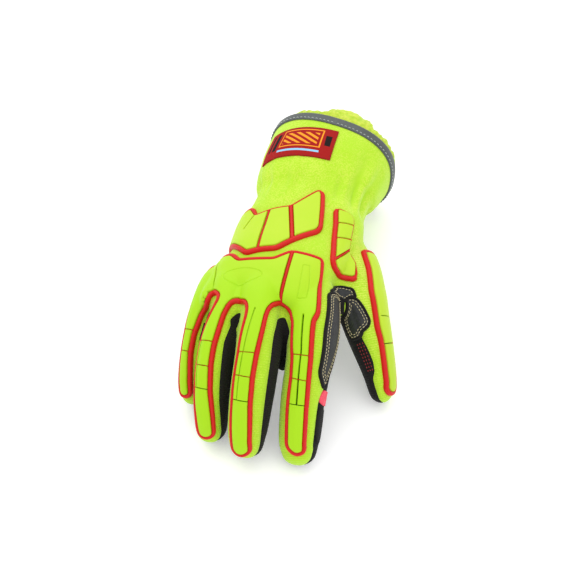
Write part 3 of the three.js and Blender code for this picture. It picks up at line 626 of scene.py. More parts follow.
def seen(rows):
    """The cloth's points under some pixels of the photograph, met at the height of the red edges."""
    found = []
    pixels = lens.lens / lens.sensor_width * FRAME
    for x, y, *_ in rows:
        start = camera.location
        ahead = (
            view_right * (x - FRAME / 2) / pixels + view_up * (FRAME / 2 - y) / pixels - view_back
        ).normalized()
        hit, out, _, _ = cloth_tree.ray_cast(start, ahead)
        if hit:
            sideways = out - ahead * out.dot(ahead)
            lower = cloth_tree.ray_cast(start - sideways * LINE_UP * MM, ahead)[0]
            hit = lower or hit
        else:
            steps = [start + ahead * VIEW_DISTANCE * (0.9 + 0.005 * k) for k in range(40)]
            hit = min((cloth_tree.find_nearest(step) for step in steps), key=lambda near: near[3])[0]
        found.append(hit)
    return found


def on_digit(name, rows):
    """Points of the cloth of a digit at distances along and across it."""
    digit = digits[name]
    found = []
    for distance, across in rows:
        turn = digit.angle_of(distance, across, LINE_UP)
        found.append(cloth_tree.find_nearest(Vector(digit.point(distance, turn)))[0])
    return found


def evened(line, step, closed=False):
    """Divides a line evenly and lays its points on the cloth, each with the direction out of it."""
    line = np.array(line)
    reached = np.concatenate([[0], np.cumsum(np.linalg.norm(np.diff(line[:, :3], axis=0), axis=1))])
    count = max(3, int(reached[-1] / (step * MM)) + 1)
    spread = np.linspace(0, reached[-1], count)
    even = np.array([np.interp(spread, reached, column) for column in line.T]).T
    even = even[:-1] if closed else even
    laid = [cloth_tree.find_nearest(Vector(point[:3])) for point in even]
    at = np.array([hit[0][:] for hit in laid])
    up = np.array([hit[1][:] for hit in laid])
    mode = "wrap" if closed else "edge"
    wide = np.pad(up, ((4, 4), (0, 0)), mode=mode)
    up = sum(wide[k : k + len(up)] for k in range(9))
    return at, up / np.linalg.norm(up, axis=1)[:, None], even[:, 3:]


def drawn(points, half, bead, closed=False, corner=CORNER, shares=None):
    """A line over the cloth with rounded corners, its half width and the size of its bead."""
    count = len(points)
    shares = shares or [1] * count
    rounded = []
    for i, point in enumerate(points):
        if not closed and i in (0, count - 1):
            rounded.append((*point, shares[i]))
            continue
        before, after = points[i - 1] - point, points[(i + 1) % count] - point
        reach = min(corner * MM, before.length * 0.5, after.length * 0.5)
        a, b = point + before.normalized() * reach, point + after.normalized() * reach
        rounded += [(*a.lerp(point, t).lerp(point.lerp(b, t), t), shares[i])
                    for t in (0, 0.25, 0.5, 0.75, 1)]
    if closed:
        rounded.append(rounded[0])
    at, up, share = evened(rounded, LINE_STEP, closed)
    return {"at": at, "up": up, "half": half * share[:, 0], "bead": bead, "share": share[:, 0],
            "closed": closed}


def side_of(name, side):
    """One edge of a digit's pad, towards its tip."""
    rows = [row for row in PADS[name]["edges"] if row[0] < PADS[name]["end"] - 6]
    return [(row[0], row[side]) for row in rows]


def end_of(name):
    """The rounded end of a digit's pad, from its right edge to its left one."""
    pad = PADS[name]
    left, right = across_pad(name, pad["end"])
    middle, half = (left + right) / 2, (right - left) / 2
    turns = [math.radians(t) for t in (10, 30, 50, 70, 90, 110, 130, 150, 170)]
    return [(pad["end"] - half * 0.95 * (1 - math.sin(t)), middle + half * math.cos(t)) for t in turns]


def across_pad(name, distance):
    """Left and right edge of a digit's pad at a distance along it."""
    rows = np.array(PADS[name]["edges"])
    return [np.interp(distance, rows[:, 0], rows[:, k]) for k in (1, 2)]


def divider(item):
    """A red joint between two panels."""
    return drawn(seen(item["line"]), item["wide"] / 2, (item["wide"] / 2 + 0.4, 2.8))


def shares_of(rows):
    """Each row's share of the usual width."""
    return [row[2] if len(row) > 2 else 1 for row in rows]


overlay = seen(HAND_TOP)
for name in ("index", "middle", "ring", "little"):
    overlay += on_digit(name, side_of(name, 2) + end_of(name) + side_of(name, 1)[::-1])
    overlay += seen(ARCHES[name]) if name in ARCHES else on_digit("little", LITTLE_SIDE)
thumb_outline = on_digit("thumb", side_of("thumb", 2) + end_of("thumb")) + seen(THUMB_LEFT)
wrist_side = [cloth_tree.find_nearest(Vector(hand.point(s, math.radians(turn))))[0]
              for s, turn in WRIST_SIDE]
red_lines = {
    "hand": [drawn(overlay, *EDGE.values(), True), *map(divider, HAND_DIVIDERS)],
    "wrist": [drawn(seen(WRIST_EDGE) + wrist_side, *EDGE.values(), True,
                    shares=shares_of(WRIST_EDGE) + [1] * len(WRIST_SIDE)),
              *map(divider, WRIST_DIVIDERS)],
    "thumb_base": [drawn(seen(BASE_EDGE), *EDGE.values(), True, shares=shares_of(BASE_EDGE)),
                   *map(divider, BASE_DIVIDERS)],
    "thumb": [drawn(thumb_outline, *EDGE.values(), True)],
}
groove_lines = {"hand": [], "wrist": [], "thumb_base": [], "thumb": []}
for name, pad in PADS.items():
    group = "thumb" if name == "thumb" else "hand"
    for distance in pad["cuts"] + pad["scores"]:
        left, right = across_pad(name, distance)
        line = on_digit(name, [(distance, left), (distance, (left + right) / 2), (distance, right)])
        if distance in pad["cuts"]:
            red_lines[group].append(drawn(line, *CUT.values()))
        else:
            groove_lines[group].append(drawn(line, *SCORE.values()))
            # Painted shade: a score's floor is a dark olive strip standing in for the shade deep in it.
            groove_lines[group][-1]["floor"] = "shade_olive"
    if pad["groove"]:
        groove = DEEP_GROOVE if name == "index" else LOW_GROOVE
        groove_lines[group].append(drawn(on_digit(name, pad["groove"]), *groove.values()))
        # Painted shade: the index's slot gets a black floor strip for the shade deep in it; the other
        # grooves get a lime bead.
        groove_lines[group][-1]["floor"] = "black" if name == "index" else "lime"

# Red edges of the pads
# The base of each pad is moulded in red thermoplastic rubber. It shows as a smooth convex edge all
# round the lime panels and in the joints between them.
BEAD_SINK = 1.0  # mm that a bead reaches into the cloth


def rubber(name, light, dark, rough):
    """Injection moulded thermoplastic rubber: satin, faintly grained, with painted shade that makes it
    deeper in colour towards the fingers and paler on the back of the hand.
    """
    made, tree, output = blank(name)
    place = node(tree, "ShaderNodeTexCoord").outputs["Object"]
    flow = node(tree, "ShaderNodeTexNoise", {}, {"Vector": place, "Scale": 1 / (9 * MM), "Detail": 2.0})
    grain = node(tree, "ShaderNodeTexNoise", {},
                 {"Vector": place, "Scale": 1 / (0.7 * MM), "Detail": 2.0})
    finger_shade = node(tree, "ShaderNodeAttribute", {"attribute_name": "shade_to_fingers"}).outputs["Fac"]
    # Random flow of colour plus painted shade towards the fingers.
    deep = node(tree, "ShaderNodeMath", {"operation": "MULTIPLY_ADD"},
                {0: flow.outputs["Fac"], 1: 0.3, 2: finger_shade})
    paint = node(tree, "ShaderNodeMix", {"data_type": "RGBA"},
                 {"Factor": deep.outputs[0], "A": colour(light), "B": colour(dark)})
    bump = node(tree, "ShaderNodeBump", {},
                {"Height": grain.outputs["Fac"], "Strength": 0.3, "Distance": 0.12 * MM})
    shader = node(tree, "ShaderNodeBsdfPrincipled", {}, {
        "Base Color": paint.outputs["Result"], "Roughness": rough, "Specular IOR Level": 0.25,
        "Normal": bump.outputs["Normal"],
    })
    tree.links.new(shader.outputs[0], output.inputs["Surface"])
    return made


red_rubber = rubber("moulded_red_thermoplastic_rubber", "#D01C16", "#B0120E", 0.42)


def add_bead(bm, line):
    """Sweeps a round bead along a line of the cloth."""
    at, up = line["at"], line["up"]
    ahead = np.roll(at, -1, 0) - np.roll(at, 1, 0) if line["closed"] else np.gradient(at, axis=0)
    side = np.cross(ahead, up)
    side /= np.linalg.norm(side, axis=1)[:, None]
    wide, high = line["bead"]
    turn = np.arange(12) * math.pi / 6
    height = np.where(np.cos(turn) > 0, high, BEAD_SINK) * np.cos(turn)
    lean = line["share"][:, None, None]
    across = side[:, None] * (wide * np.sin(turn))[:, None] * lean
    rings = at[:, None] + (across + up[:, None] * height[:, None] * (0.8 + 0.2 * lean)) * MM
    add_loft(bm, rings, line["closed"])


RIM_NODES = {"hand": ["rim_hand", "rim_index", "rim_middle", "rim_ring", "rim_little"],
             "wrist": ["rim_wrist"], "thumb_base": ["rim_thumb_base"], "thumb": ["rim_thumb"]}
for group, lines in red_lines.items():
    rim = bmesh.new()
    for line in lines:
        add_bead(rim, line)
    bmesh.ops.recalc_face_normals(rim, faces=rim.faces[:])
    piece = new_piece(f"red_edge_{group}", rim)
    piece.data.materials.append(red_rubber)
    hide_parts(*RIM_NODES[group])
    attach(piece, "root")

# Black strips
# Black knit joins ring and little finger and shows as a thin line between their red edges. Another strip
# lies in the valley between thumb and index finger.
GAP = [(214.6, 303.5), (209.5, 313), (204.5, 326), (200.6, 340)]
THUMB_GAP = [(343.3, 297), (342.6, 305), (341.6, 316)]

gap = bmesh.new()
add_bead(gap, drawn(seen(GAP), 0, (0.7, 1.6)))
add_bead(gap, drawn(seen(THUMB_GAP), 0, (2.2, 1.3)))
bmesh.ops.recalc_face_normals(gap, faces=gap.faces[:])
piece = new_piece("knit_strips", gap)
piece.data.materials.append(black_knit)
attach(piece, "root")

# Lime pads
# Thick lime thermoplastic rubber panels stand over the red base with rounded edges. Cross cuts and a
# long groove let them bend with the fingers. Two shallow marks on the back of the hand are left blank.
PAD_TOP = 3.3  # mm above the cloth
PAD_ROUND = 1.0  # mm, radius of a panel's edge
SLOT_ROUND = 0.4
PAD_CROWN = 0.5
MARK_DEEP = 0.45
NEARBY = 0.026  # metres round a line's box, within which distances to it are worked out
FARTHER = 99.0  # mm, the distance that all other points are given
OVAL = {"at": (-24.8, -22), "half": (13, 7), "turn": 8}
BAR = [(12, -5), (16, -4), (22, -28), (15, -29)]

# The deeper lime is partly random tone and partly painted shade towards the fingers.
lime_rubber = rubber("moulded_lime_thermoplastic_rubber", "#B8D62E", "#A4D60E", 0.5)
thumb_rubber = rubber("moulded_yellow_lime_thermoplastic_rubber", "#B8D62C", "#B0CE28", 0.5)


def clear_of(at, lines):
    """Millimetres from points to the nearest of some lines, less the line's half width."""
    best = np.full(len(at), FARTHER)
    for line in lines:
        points = line["at"]
        inside = ((at > points.min(0) - NEARBY) & (at < points.max(0) + NEARBY)).all(axis=1)
        inside = np.flatnonzero(inside)
        for some in np.array_split(inside, len(inside) // 4000 + 1):
            here = at[some]
            near = np.argmin((points**2).sum(1) - 2 * here @ points.T, axis=1)
            last = len(points) - 1
            if line["closed"]:
                ends = (points[near - 1], points[near], points[(near + 1) % len(points)])
            else:
                ends = (points[np.maximum(near - 1, 0)], points[near], points[np.minimum(near + 1, last)])
            for a, b in zip(ends, ends[1:]):
                way = b - a
                share = ((here - a) * way).sum(1) / np.maximum((way**2).sum(1), 1e-12)
                off = here - a - way * np.clip(share, 0, 1)[:, None]
                best[some] = np.minimum(best[some], np.linalg.norm(off, axis=1) / MM - line["half"][near])
    return best


def keep_enclosed(bm, off):
    """Deletes the parts that reach beyond the lines that they were cut along."""
    bm.verts.index_update()
    rim = {vert for edge in bm.edges if edge.is_boundary for vert in edge.verts}
    wave = {face for vert in rim if off[vert.index] > 1 for face in vert.link_faces}
    gone = set(wave)
    while wave:
        wave = {f for face in wave for edge in face.edges for f in edge.link_faces} - gone
        gone |= wave
    bmesh.ops.delete(bm, geom=list(gone), context="FACES")


def raised(edges, slots, top, rounding, crown=0.0, marks=(), reach=12):
    """The cloth's surface inside closed lines, raised over it, with rounded edges and side walls."""
    bm = skin.copy()
    off = clear_of(places(bm), edges)
    bmesh.ops.delete(bm, geom=[vert for vert, d in zip(bm.verts, off) if d > reach], context="VERTS")
    for near in (2.6, 1.3):
        off = clear_of(places(bm), [*edges, *slots, *marks])
        close = {vert for vert, d in zip(bm.verts, off) if abs(d) < near}
        fine = [edge for edge in bm.edges if edge.verts[0] in close or edge.verts[1] in close]
        bmesh.ops.subdivide_edges(bm, edges=fine, cuts=1, use_grid_fill=True)
    for _ in range(3):
        bmesh.ops.smooth_vert(bm, verts=bm.verts[:], factor=0.5, use_axis_x=True, use_axis_y=True,
                              use_axis_z=True)
    bm.normal_update()
    out = bm.verts.layers.float_vector.new("out")
    for vert in bm.verts:
        vert[out] = vert.normal
    keep_side(bm, clear_of(places(bm), [*edges, *slots]))
    keep_enclosed(bm, clear_of(places(bm), [*edges, *slots]))
    at = places(bm)
    height = np.full(len(at), top) + crown * (1 - np.exp(-((clear_of(at, edges) / 5) ** 2)))
    for lines, radius in ((edges, rounding), (slots, SLOT_ROUND)):
        rise = np.clip(clear_of(at, lines), 0, radius)
        height += np.sqrt(radius**2 - (radius - rise) ** 2) - radius
    height -= MARK_DEEP * np.exp(-((clear_of(at, marks) / 0.35) ** 2))
    lifted = bm.verts.layers.float.new("lifted")
    for vert, up in zip(bm.verts, height):
        vert[lifted] = up
        vert.co += vert[out].normalized() * float(up) * MM
    rim = [edge for edge in bm.edges if edge.is_boundary]
    for made in bmesh.ops.extrude_edge_only(bm, edges=rim)["geom"]:
        if isinstance(made, bmesh.types.BMVert):
            made.co -= made[out].normalized() * (made[lifted] + 0.3) * MM
    return bm


def plan(rows):
    """The cloth's points straight under some plan points."""
    starts = [(Vector((x, y, 150)) + Vector(TABLES_AT)) * MM for x, y in rows]
    return [cloth_tree.ray_cast(start, Vector((0, 0, -1)))[0] for start in starts]


turn = math.radians(OVAL["turn"])
oval = []
for k in range(24):
    x, y = OVAL["half"][0] * math.cos(k * math.pi / 12), OVAL["half"][1] * math.sin(k * math.pi / 12)
    oval.append((OVAL["at"][0] + x * math.cos(turn) - y * math.sin(turn),
                 OVAL["at"][1] + x * math.sin(turn) + y * math.cos(turn)))
marks = [drawn(plan(oval), 0, None, True), drawn(plan(BAR), 0, None, True, 0.8)]
PAD_NODES = {
    "hand": ["pad_hand_side", "pad_hand_left", "pad_hand_right", "pad_index", "pad_middle", "pad_ring",
             "pad_little"],
    "wrist": ["pad_wrist_1", "pad_wrist_2", "pad_wrist_3", "pad_wrist_4"],
    "thumb_base": ["pad_thumb_base_1", "pad_thumb_base_2", "pad_thumb_base_3", "pad_thumb_base_4"],
    "thumb": ["pad_thumb"],
}
for group, lines in red_lines.items():
    edges = [line for line in lines if line["closed"]]
    slots = [line for line in lines if not line["closed"]] + groove_lines[group]
    panels = raised(edges, slots, PAD_TOP, PAD_ROUND, PAD_CROWN, marks if group == "hand" else (), 24)
    for line in groove_lines[group]:
        if line["floor"] == "lime":
            add_bead(panels, line)
    piece = new_piece(f"lime_pads_{group}", panels)
    piece.data.materials.append(thumb_rubber if group == "thumb" else lime_rubber)
    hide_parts(*PAD_NODES[group])
    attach(piece, "root")

# Painted shade in the deep slots
# The scores across the pads of index, middle and ring finger and thumb and the long slot of the index pad
# get a dark olive or black strip at their floor: painted shade that stands in for the shade deep inside
# them.
for floor, light, dark in (("shade_olive", "#4E5A14", "#3A440E"), ("black", "#1E220E", "#121408")):
    shade_strip_mesh = bmesh.new()
    for lines in groove_lines.values():
        for line in lines:
            if line["floor"] == floor:
                add_bead(shade_strip_mesh, line)
    bmesh.ops.recalc_face_normals(shade_strip_mesh, faces=shade_strip_mesh.faces[:])
    piece = new_piece(f"{floor}_slot_shade_strips", shade_strip_mesh)
    piece.data.materials.append(rubber(f"moulded_{floor}_thermoplastic_rubber", light, dark, 0.7))
    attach(piece, "root")

# Binding of the cuff's rim
# A grey reflective tape is folded over the cut edge of the cuff and sewn through with pale thread.
TAPE_WIDE = 7  # mm on each side of the rim
TAPE_STITCH_AT = 5.6
ROUND = np.arange(144) * 2 * math.pi / 144


def reflective():
    """Glass bead tape on grey polyester: a dull sheen and a fine woven ribbing."""
    made, tree, output = blank("grey_glass_bead_reflective_tape")
    place = node(tree, "ShaderNodeTexCoord").outputs["Object"]
    beads = node(tree, "ShaderNodeTexVoronoi", {}, {"Vector": place, "Scale": 1 / (0.5 * MM)})
    cloud = node(tree, "ShaderNodeTexNoise", {}, {"Vector": place, "Scale": 1 / (6 * MM), "Detail": 2.0})
    paint = node(tree, "ShaderNodeMix", {"data_type": "RGBA"},
                 {"Factor": cloud.outputs["Fac"], "A": colour("#5C6260"), "B": colour("#464C4A")})
    bump = node(tree, "ShaderNodeBump", {},
                {"Height": beads.outputs["Distance"], "Strength": 0.4, "Distance": 0.1 * MM})
    shader = node(tree, "ShaderNodeBsdfPrincipled", {}, {
        "Base Color": paint.outputs["Result"], "Metallic": 0.35, "Roughness": 0.5,
        "Normal": bump.outputs["Normal"],
    })
    tree.links.new(shader.outputs[0], output.inputs["Surface"])
    return made


def thread(name, code):
    """Bonded polyester sewing thread: slightly shiny, with the twist of its plies."""
    made, tree, output = blank(name)
    place = node(tree, "ShaderNodeTexCoord").outputs["Object"]
    plies = node(tree, "ShaderNodeTexWave", {"bands_direction": "DIAGONAL"},
                 {"Vector": place, "Scale": 0.314 / (0.6 * MM)})
    bump = node(tree, "ShaderNodeBump", {},
                {"Height": plies.outputs["Fac"], "Strength": 0.3, "Distance": 0.1 * MM})
    shader = node(tree, "ShaderNodeBsdfPrincipled", {}, {
        "Base Color": colour(code), "Roughness": 0.55, "Normal": bump.outputs["Normal"],
    })
    tree.links.new(shader.outputs[0], output.inputs["Surface"])
    return made


BINDING_STITCH = {"length": 1.7, "gap": 1.3, "half": 0.28}  # mm


def add_stitches(bm, line, length, gap, half, up):
    """Lays a row of stitches along a line, each a short thread that dips into the cloth at its ends."""
    at, out = line["at"], line["up"]
    reached = np.concatenate([[0], np.cumsum(np.linalg.norm(np.diff(at, axis=0), axis=1))]) / MM
    start = gap / 2
    while start + length < reached[-1]:
        steps = start + length * np.array([0, 0.25, 0.5, 0.75, 1])
        spine, above = (np.array([np.interp(steps, reached, column) for column in part.T]).T
                        for part in (at, out))
        ahead = spine[-1] - spine[0]
        side = np.cross(ahead, above)
        side /= np.linalg.norm(side, axis=1)[:, None]
        spine = spine + above * (np.array([-0.4, 0.7, 1, 0.7, -0.4]) * half + up)[:, None] * MM
        turn = np.arange(6) * math.pi / 3
        size = (np.array([0.5, 0.9, 1, 0.9, 0.5]) * half * MM)[:, None, None]
        outward = side[:, None] * np.sin(turn)[:, None] + above[:, None] * np.cos(turn)[:, None]
        add_loft(bm, spine[:, None] + size * outward)
        start += length + gap
    bmesh.ops.recalc_face_normals(bm, faces=bm.faces[:])


tape = bmesh.new()
profile = [(TAPE_WIDE, 0.1), (TAPE_WIDE, 0.75), (TAPE_WIDE - 0.5, 1.0), (3.5, 1.15), (0.6, 1.1),
           (-0.5, 0.7), (-1.1, -0.4), (-1.2, -1.6), (-1.1, -2.6), (-0.5, -3.6), (1, -4), (TAPE_WIDE, -4),
           (TAPE_WIDE, -3.2)]
add_loft(tape, [hand.point(along, ROUND, grow) for along, grow in profile], capped=False)
bmesh.ops.recalc_face_normals(tape, faces=tape.faces[:])
binding = new_piece("cuff_binding_tape", tape)
binding.data.materials.append(reflective())
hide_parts("cuff_binding")
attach(binding, "root")

seam_line = {"at": hand.point(TAPE_STITCH_AT, np.append(ROUND, 0), 1.1)}
seam_line["up"] = seam_line["at"] - hand.point(TAPE_STITCH_AT, np.append(ROUND, 0), 0.1)
seam_line["up"] /= np.linalg.norm(seam_line["up"], axis=1)[:, None]
stitches = bmesh.new()
add_stitches(stitches, seam_line, **BINDING_STITCH, up=0)
binding_seam = new_piece("cuff_binding_stitches", stitches)
binding_seam.data.materials.append(thread("pale_grey_polyester_thread", "#B4BABA"))
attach(binding_seam, "root")

# Lining
# The insulating lining is a curled lime pile. It lines the cuff and stands out of its mouth in a soft
# roll, which is pulled up into curls at the back of the wrist.
LIP_OUT = 10  # mm beyond the rim
CURL_OUT = 7.0  # mm more where it curls up
CURLS = (math.radians(-12), math.radians(30))
LINING_DEEP = 92
# the roll's section from outside to inside: share of its reach beyond the rim, and mm over the cloth
ROLL = [(-2.2, -4.4), (-1, -4.4), (0, -4.4), (0.25, -3.6), (0.5, -2.6), (0.7, -2.0), (0.85, -2.2),
        (0.95, -3), (1.0, -4.2), (1.0, -5.4), (0.94, -6.6), (0.8, -7.6), (0.6, -8.3), (0.2, -8.5),
        (-0.4, -8.4), (-1.2, -7.6), (-2, -6.4), (-3, -5.6), (-5, -5.2)]


def pile():
    """Sherpa pile: matt curls, with shade painted darker into the hollows between them."""
    made, tree, output = blank("lime_curled_polyester_pile")
    place = node(tree, "ShaderNodeTexCoord").outputs["Object"]
    curls = node(tree, "ShaderNodeTexVoronoi", {"feature": "SMOOTH_F1"},
                 {"Vector": place, "Scale": 1 / (2.2 * MM)})
    fuzz = node(tree, "ShaderNodeTexNoise", {}, {"Vector": place, "Scale": 1 / (0.7 * MM), "Detail": 3.0})
    # Painted shade: the colour darkens from each curl's middle to the hollows round it.
    shade = node(tree, "ShaderNodeMapRange", {},
                 {"Value": curls.outputs["Distance"], "From Min": 0.2, "From Max": 0.8})
    paint = node(tree, "ShaderNodeMix", {"data_type": "RGBA"},
                 {"Factor": shade.outputs[0], "A": colour("#CEDE46"), "B": colour("#A6CC1C")})
    height = node(tree, "ShaderNodeMath", {"operation": "MULTIPLY_ADD"},
                  {0: curls.outputs["Distance"], 1: -1.2, 2: fuzz.outputs["Fac"]})
    bump = node(tree, "ShaderNodeBump", {},
                {"Height": height.outputs[0], "Strength": 0.8, "Distance": 0.6 * MM})
    shader = node(tree, "ShaderNodeBsdfPrincipled", {}, {
        "Base Color": paint.outputs["Result"], "Roughness": 0.95, "Sheen Weight": 0.3,
        "Normal": bump.outputs["Normal"],
    })
    tree.links.new(shader.outputs[0], output.inputs["Surface"])
    return made


lip_round = np.arange(300) * 2 * math.pi / 300
centred = (lip_round + math.pi) % (2 * math.pi) - math.pi
curled = np.clip((centred - CURLS[0]) / 0.07, 0, 1) * np.clip((CURLS[1] - centred) / 0.12, 0, 1)
waves = 0.6 * np.sin(9 * lip_round + 1) + 0.5 * np.sin(17 * lip_round) + 0.25 * np.sin(31 * lip_round + 2)
reach = LIP_OUT + 0.4 * waves + curled * (CURL_OUT + waves * 1.0)
rings = []
for share, grow in ROLL:
    rings.append(hand.point(-share * (reach if share > 0 else LIP_OUT), lip_round, grow))
for along in np.linspace(30, LINING_DEEP, 14):
    rings.append(hand.point(along, lip_round, -5.2))
lip = bmesh.new()
add_loft(lip, rings, capped=False)
last = [edge for edge in lip.edges if edge.is_boundary and edge.verts[0].co.y < 0.09]
bmesh.ops.holes_fill(lip, edges=last, sides=0)
bmesh.ops.recalc_face_normals(lip, faces=lip.faces[:])
lip.normal_update()
for vert in lip.verts:
    out_of_mouth = min(max((vert.co.y / MM - 117) / 6, 0), 1)
    bumps = noise.noise(vert.co / (3.2 * MM)) * 1.1 + noise.noise(vert.co / (1.5 * MM)) * 0.5
    vert.co += vert.normal * bumps * out_of_mouth * MM
lining = new_piece("cuff_lining_pile", lip)
lining.data.materials.append(pile())
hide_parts("cuff_lining")
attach(lining, "root")

# Label
# A woven label is sewn on near the rim, over the back of the cuff. It is red with an amber frame, and
# carries plain stripes and bars only. Each cell of its mesh is one float of thread.
# at its top, middle and foot: distance along the hand and degrees, of its left and its right edge
LABEL = [[20.5, -57, 12.5, 4], [31, -60, 26, 6], [41, -63, 37.5, 8]]
LABEL_SIZE = (56, 25)  # mm
FLOAT = 0.4  # mm, coarser than the real thread, so that it shows
THREADS = {"red": "#9C0C08", "dark_red": "#8E1210", "amber": "#F09A22", "blue": "#8FC6E8",
           "black": "#140806"}


def thread_at(x, y):
    """The colour of the label's thread some millimetres from its lower left corner."""
    wide, high = LABEL_SIZE
    edge = min(x, y, wide - x, high - y)
    if edge < 1.1:
        return "dark_red" if (x + y) % 2.9 < 1.45 else "red"
    frame_edge = min(x - 16.4, 49.3 - x, y - 7.9, high - 2.1 - y)
    if 0 <= frame_edge < 0.85:
        return "amber"
    if frame_edge > 2.6 and (x * 0.5 + y) % 3.8 < 1.7:
        return "amber"
    if 4.1 < y < 5.7 and 16.4 < x < 49.3:
        return "blue"
    if 6 < y < high - 3.6 and (4.9 < x < 7.3 or 9.7 < x < 13.4):
        return "black"
    if 10.8 < y < high - 6 and 51 < x < 53.6:
        return "black"
    return "red"


def woven():
    """Jacquard woven polyester: glossy floats of coloured thread over a fine grid."""
    made, tree, output = blank("jacquard_woven_polyester_label")
    place = node(tree, "ShaderNodeTexCoord").outputs["Object"]
    paint = node(tree, "ShaderNodeAttribute", {"attribute_name": "thread"})
    floats = node(tree, "ShaderNodeTexNoise", {},
                  {"Vector": place, "Scale": 1 / (0.5 * MM), "Detail": 1.0})
    bump = node(tree, "ShaderNodeBump", {},
                {"Height": floats.outputs["Fac"], "Strength": 0.5, "Distance": 0.15 * MM})
    shader = node(tree, "ShaderNodeBsdfPrincipled", {}, {
        "Base Color": paint.outputs["Color"], "Roughness": 0.7, "Specular IOR Level": 0.2,
        "Normal": bump.outputs["Normal"],
    })
    tree.links.new(shader.outputs[0], output.inputs["Surface"])
    return made


cells = [round(size / FLOAT) for size in LABEL_SIZE]
tag = bmesh.new()
paint = tag.loops.layers.float_color.new("thread")
tag_verts = bmesh.ops.create_grid(tag, x_segments=cells[0], y_segments=cells[1], size=0.5)["verts"]
rows = np.array(LABEL, float)
for face in tag.faces:
    middle = face.calc_center_median()
    found = thread_at((middle.x + 0.5) * LABEL_SIZE[0], (middle.y + 0.5) * LABEL_SIZE[1])
    for loop in face.loops:
        loop[paint] = colour(THREADS[found])
for vert in tag_verts:
    across, down = vert.co.x + 0.5, 0.5 - vert.co.y
    left_along, left, right_along, right = (np.interp(down * 2, [0, 1, 2], column) for column in rows.T)
    along = left_along + (right_along - left_along) * across
    turn = math.radians(left + (right - left) * across)
    hit, up, _, _ = cloth_tree.find_nearest(Vector(hand.point(along, turn)))
    vert.co = hit + up * 0.9 * MM
for _ in range(2):
    bmesh.ops.smooth_vert(tag, verts=[v for v in tag.verts if not v.is_boundary], factor=0.5,
                          use_axis_x=True, use_axis_y=True, use_axis_z=True)
tag.normal_update()
hem = bmesh.ops.extrude_edge_only(tag, edges=[edge for edge in tag.edges if edge.is_boundary])["geom"]
for made in hem:
    if isinstance(made, bmesh.types.BMVert):
        made.co -= cloth_tree.find_nearest(made.co)[1] * 1.1 * MM
label = new_piece("woven_label_patch", tag)
label.data.materials.append(woven())
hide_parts("label")
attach(label, "root")

# Saddle between thumb and index finger
# Dark grey grained synthetic leather reinforces the crotch of the thumb: a strip on the index finger's
# side, a patch on the thumb and a small web piece behind them. Black edging and tan stitches hold each.
STRIP = [(342, 299), (336.5, 291.8), (330.4, 292), (326.6, 330), (320.8, 373.8), (323.6, 382)]
STRIP_SIDE = {"limb": "index", "rows": [(70.5, 74), (64, 79), (52, 92), (35, 98), (20, 98)]}
PATCH = [(345.3, 297.9), (352.2, 297.1), (357.5, 298.7), (364.4, 307.1), (371.3, 320.1), (369, 326.2),
         (361.3, 331.6)]
PATCH_SIDE = {"limb": "thumb", "rows": [(78, -91), (78.5, -118), (72, -123), (63, -116), (54.5, -101)]}
WEB_PIECE = [(333, 290.3), (336.1, 286.4), (343, 285.7), (352.9, 288), (356, 297.1), (349.9, 296.4),
             (345.3, 301), (341.4, 297.9), (336.8, 294.1)]
# metres, the flat size of each leather, estimated from its outline on the cloth
LEATHER_UP = 1.3  # mm
LEATHER_STITCH = {"length": 1.6, "gap": 0.7, "half": 0.26}  # mm
EDGING = {"half": 0.8, "bead": (1.0, 1.7)}  # mm


def leather(name, light, dark):
    """Grained synthetic leather: close pebbles about a millimetre wide, with a low satin sheen."""
    made, tree, output = blank(name)
    place = node(tree, "ShaderNodeTexCoord").outputs["Object"]
    pebbles = node(tree, "ShaderNodeTexVoronoi", {}, {"Vector": place, "Scale": 1 / (1.0 * MM)})
    wear = node(tree, "ShaderNodeTexNoise", {}, {"Vector": place, "Scale": 1 / (5 * MM), "Detail": 3.0})
    tone = node(tree, "ShaderNodeMath", {"operation": "MULTIPLY_ADD"},
                {0: pebbles.outputs["Distance"], 1: 0.8, 2: wear.outputs["Fac"]})
    shade = node(tree, "ShaderNodeMapRange", {},
                 {"Value": tone.outputs[0], "From Min": 0.4, "From Max": 1.2})
    paint = node(tree, "ShaderNodeMix", {"data_type": "RGBA"},
                 {"Factor": shade.outputs[0], "A": colour(light), "B": colour(dark)})
    bump = node(tree, "ShaderNodeBump", {},
                {"Height": pebbles.outputs["Distance"], "Strength": 0.6, "Distance": -0.25 * MM})
    shader = node(tree, "ShaderNodeBsdfPrincipled", {}, {
        "Base Color": paint.outputs["Result"], "Roughness": 0.6, "Normal": bump.outputs["Normal"],
    })
    tree.links.new(shader.outputs[0], output.inputs["Surface"])
    return made


def limb_points(shape):
    """Points of the cloth of a digit from rows of distance along it and degrees round it."""
    digit = digits[shape["limb"]]
    return [cloth_tree.find_nearest(Vector(digit.point(s, math.radians(a))))[0] for s, a in shape["rows"]]


def patch_outline(points, corner=3.0):
    """The closed line along a patch's edge, with the size of its black edging."""
    return drawn(points, *EDGING.values(), True, corner)


def inset(line, depth):
    """A line on the cloth some millimetres inside a closed one."""
    at = line["at"]
    side = np.cross(line["up"], np.roll(at, -1, 0) - np.roll(at, 1, 0))
    side /= np.linalg.norm(side, axis=1)[:, None]
    if ((at.mean(axis=0) - at) * side).sum() < 0:
        side = -side
    moved = at + side * depth * MM
    moved = moved[clear_of(moved, [line]) + line["half"] > depth * 0.93]
    laid, up, _ = evened([*moved, moved[0]], LINE_STEP)
    return {"at": laid, "up": up}


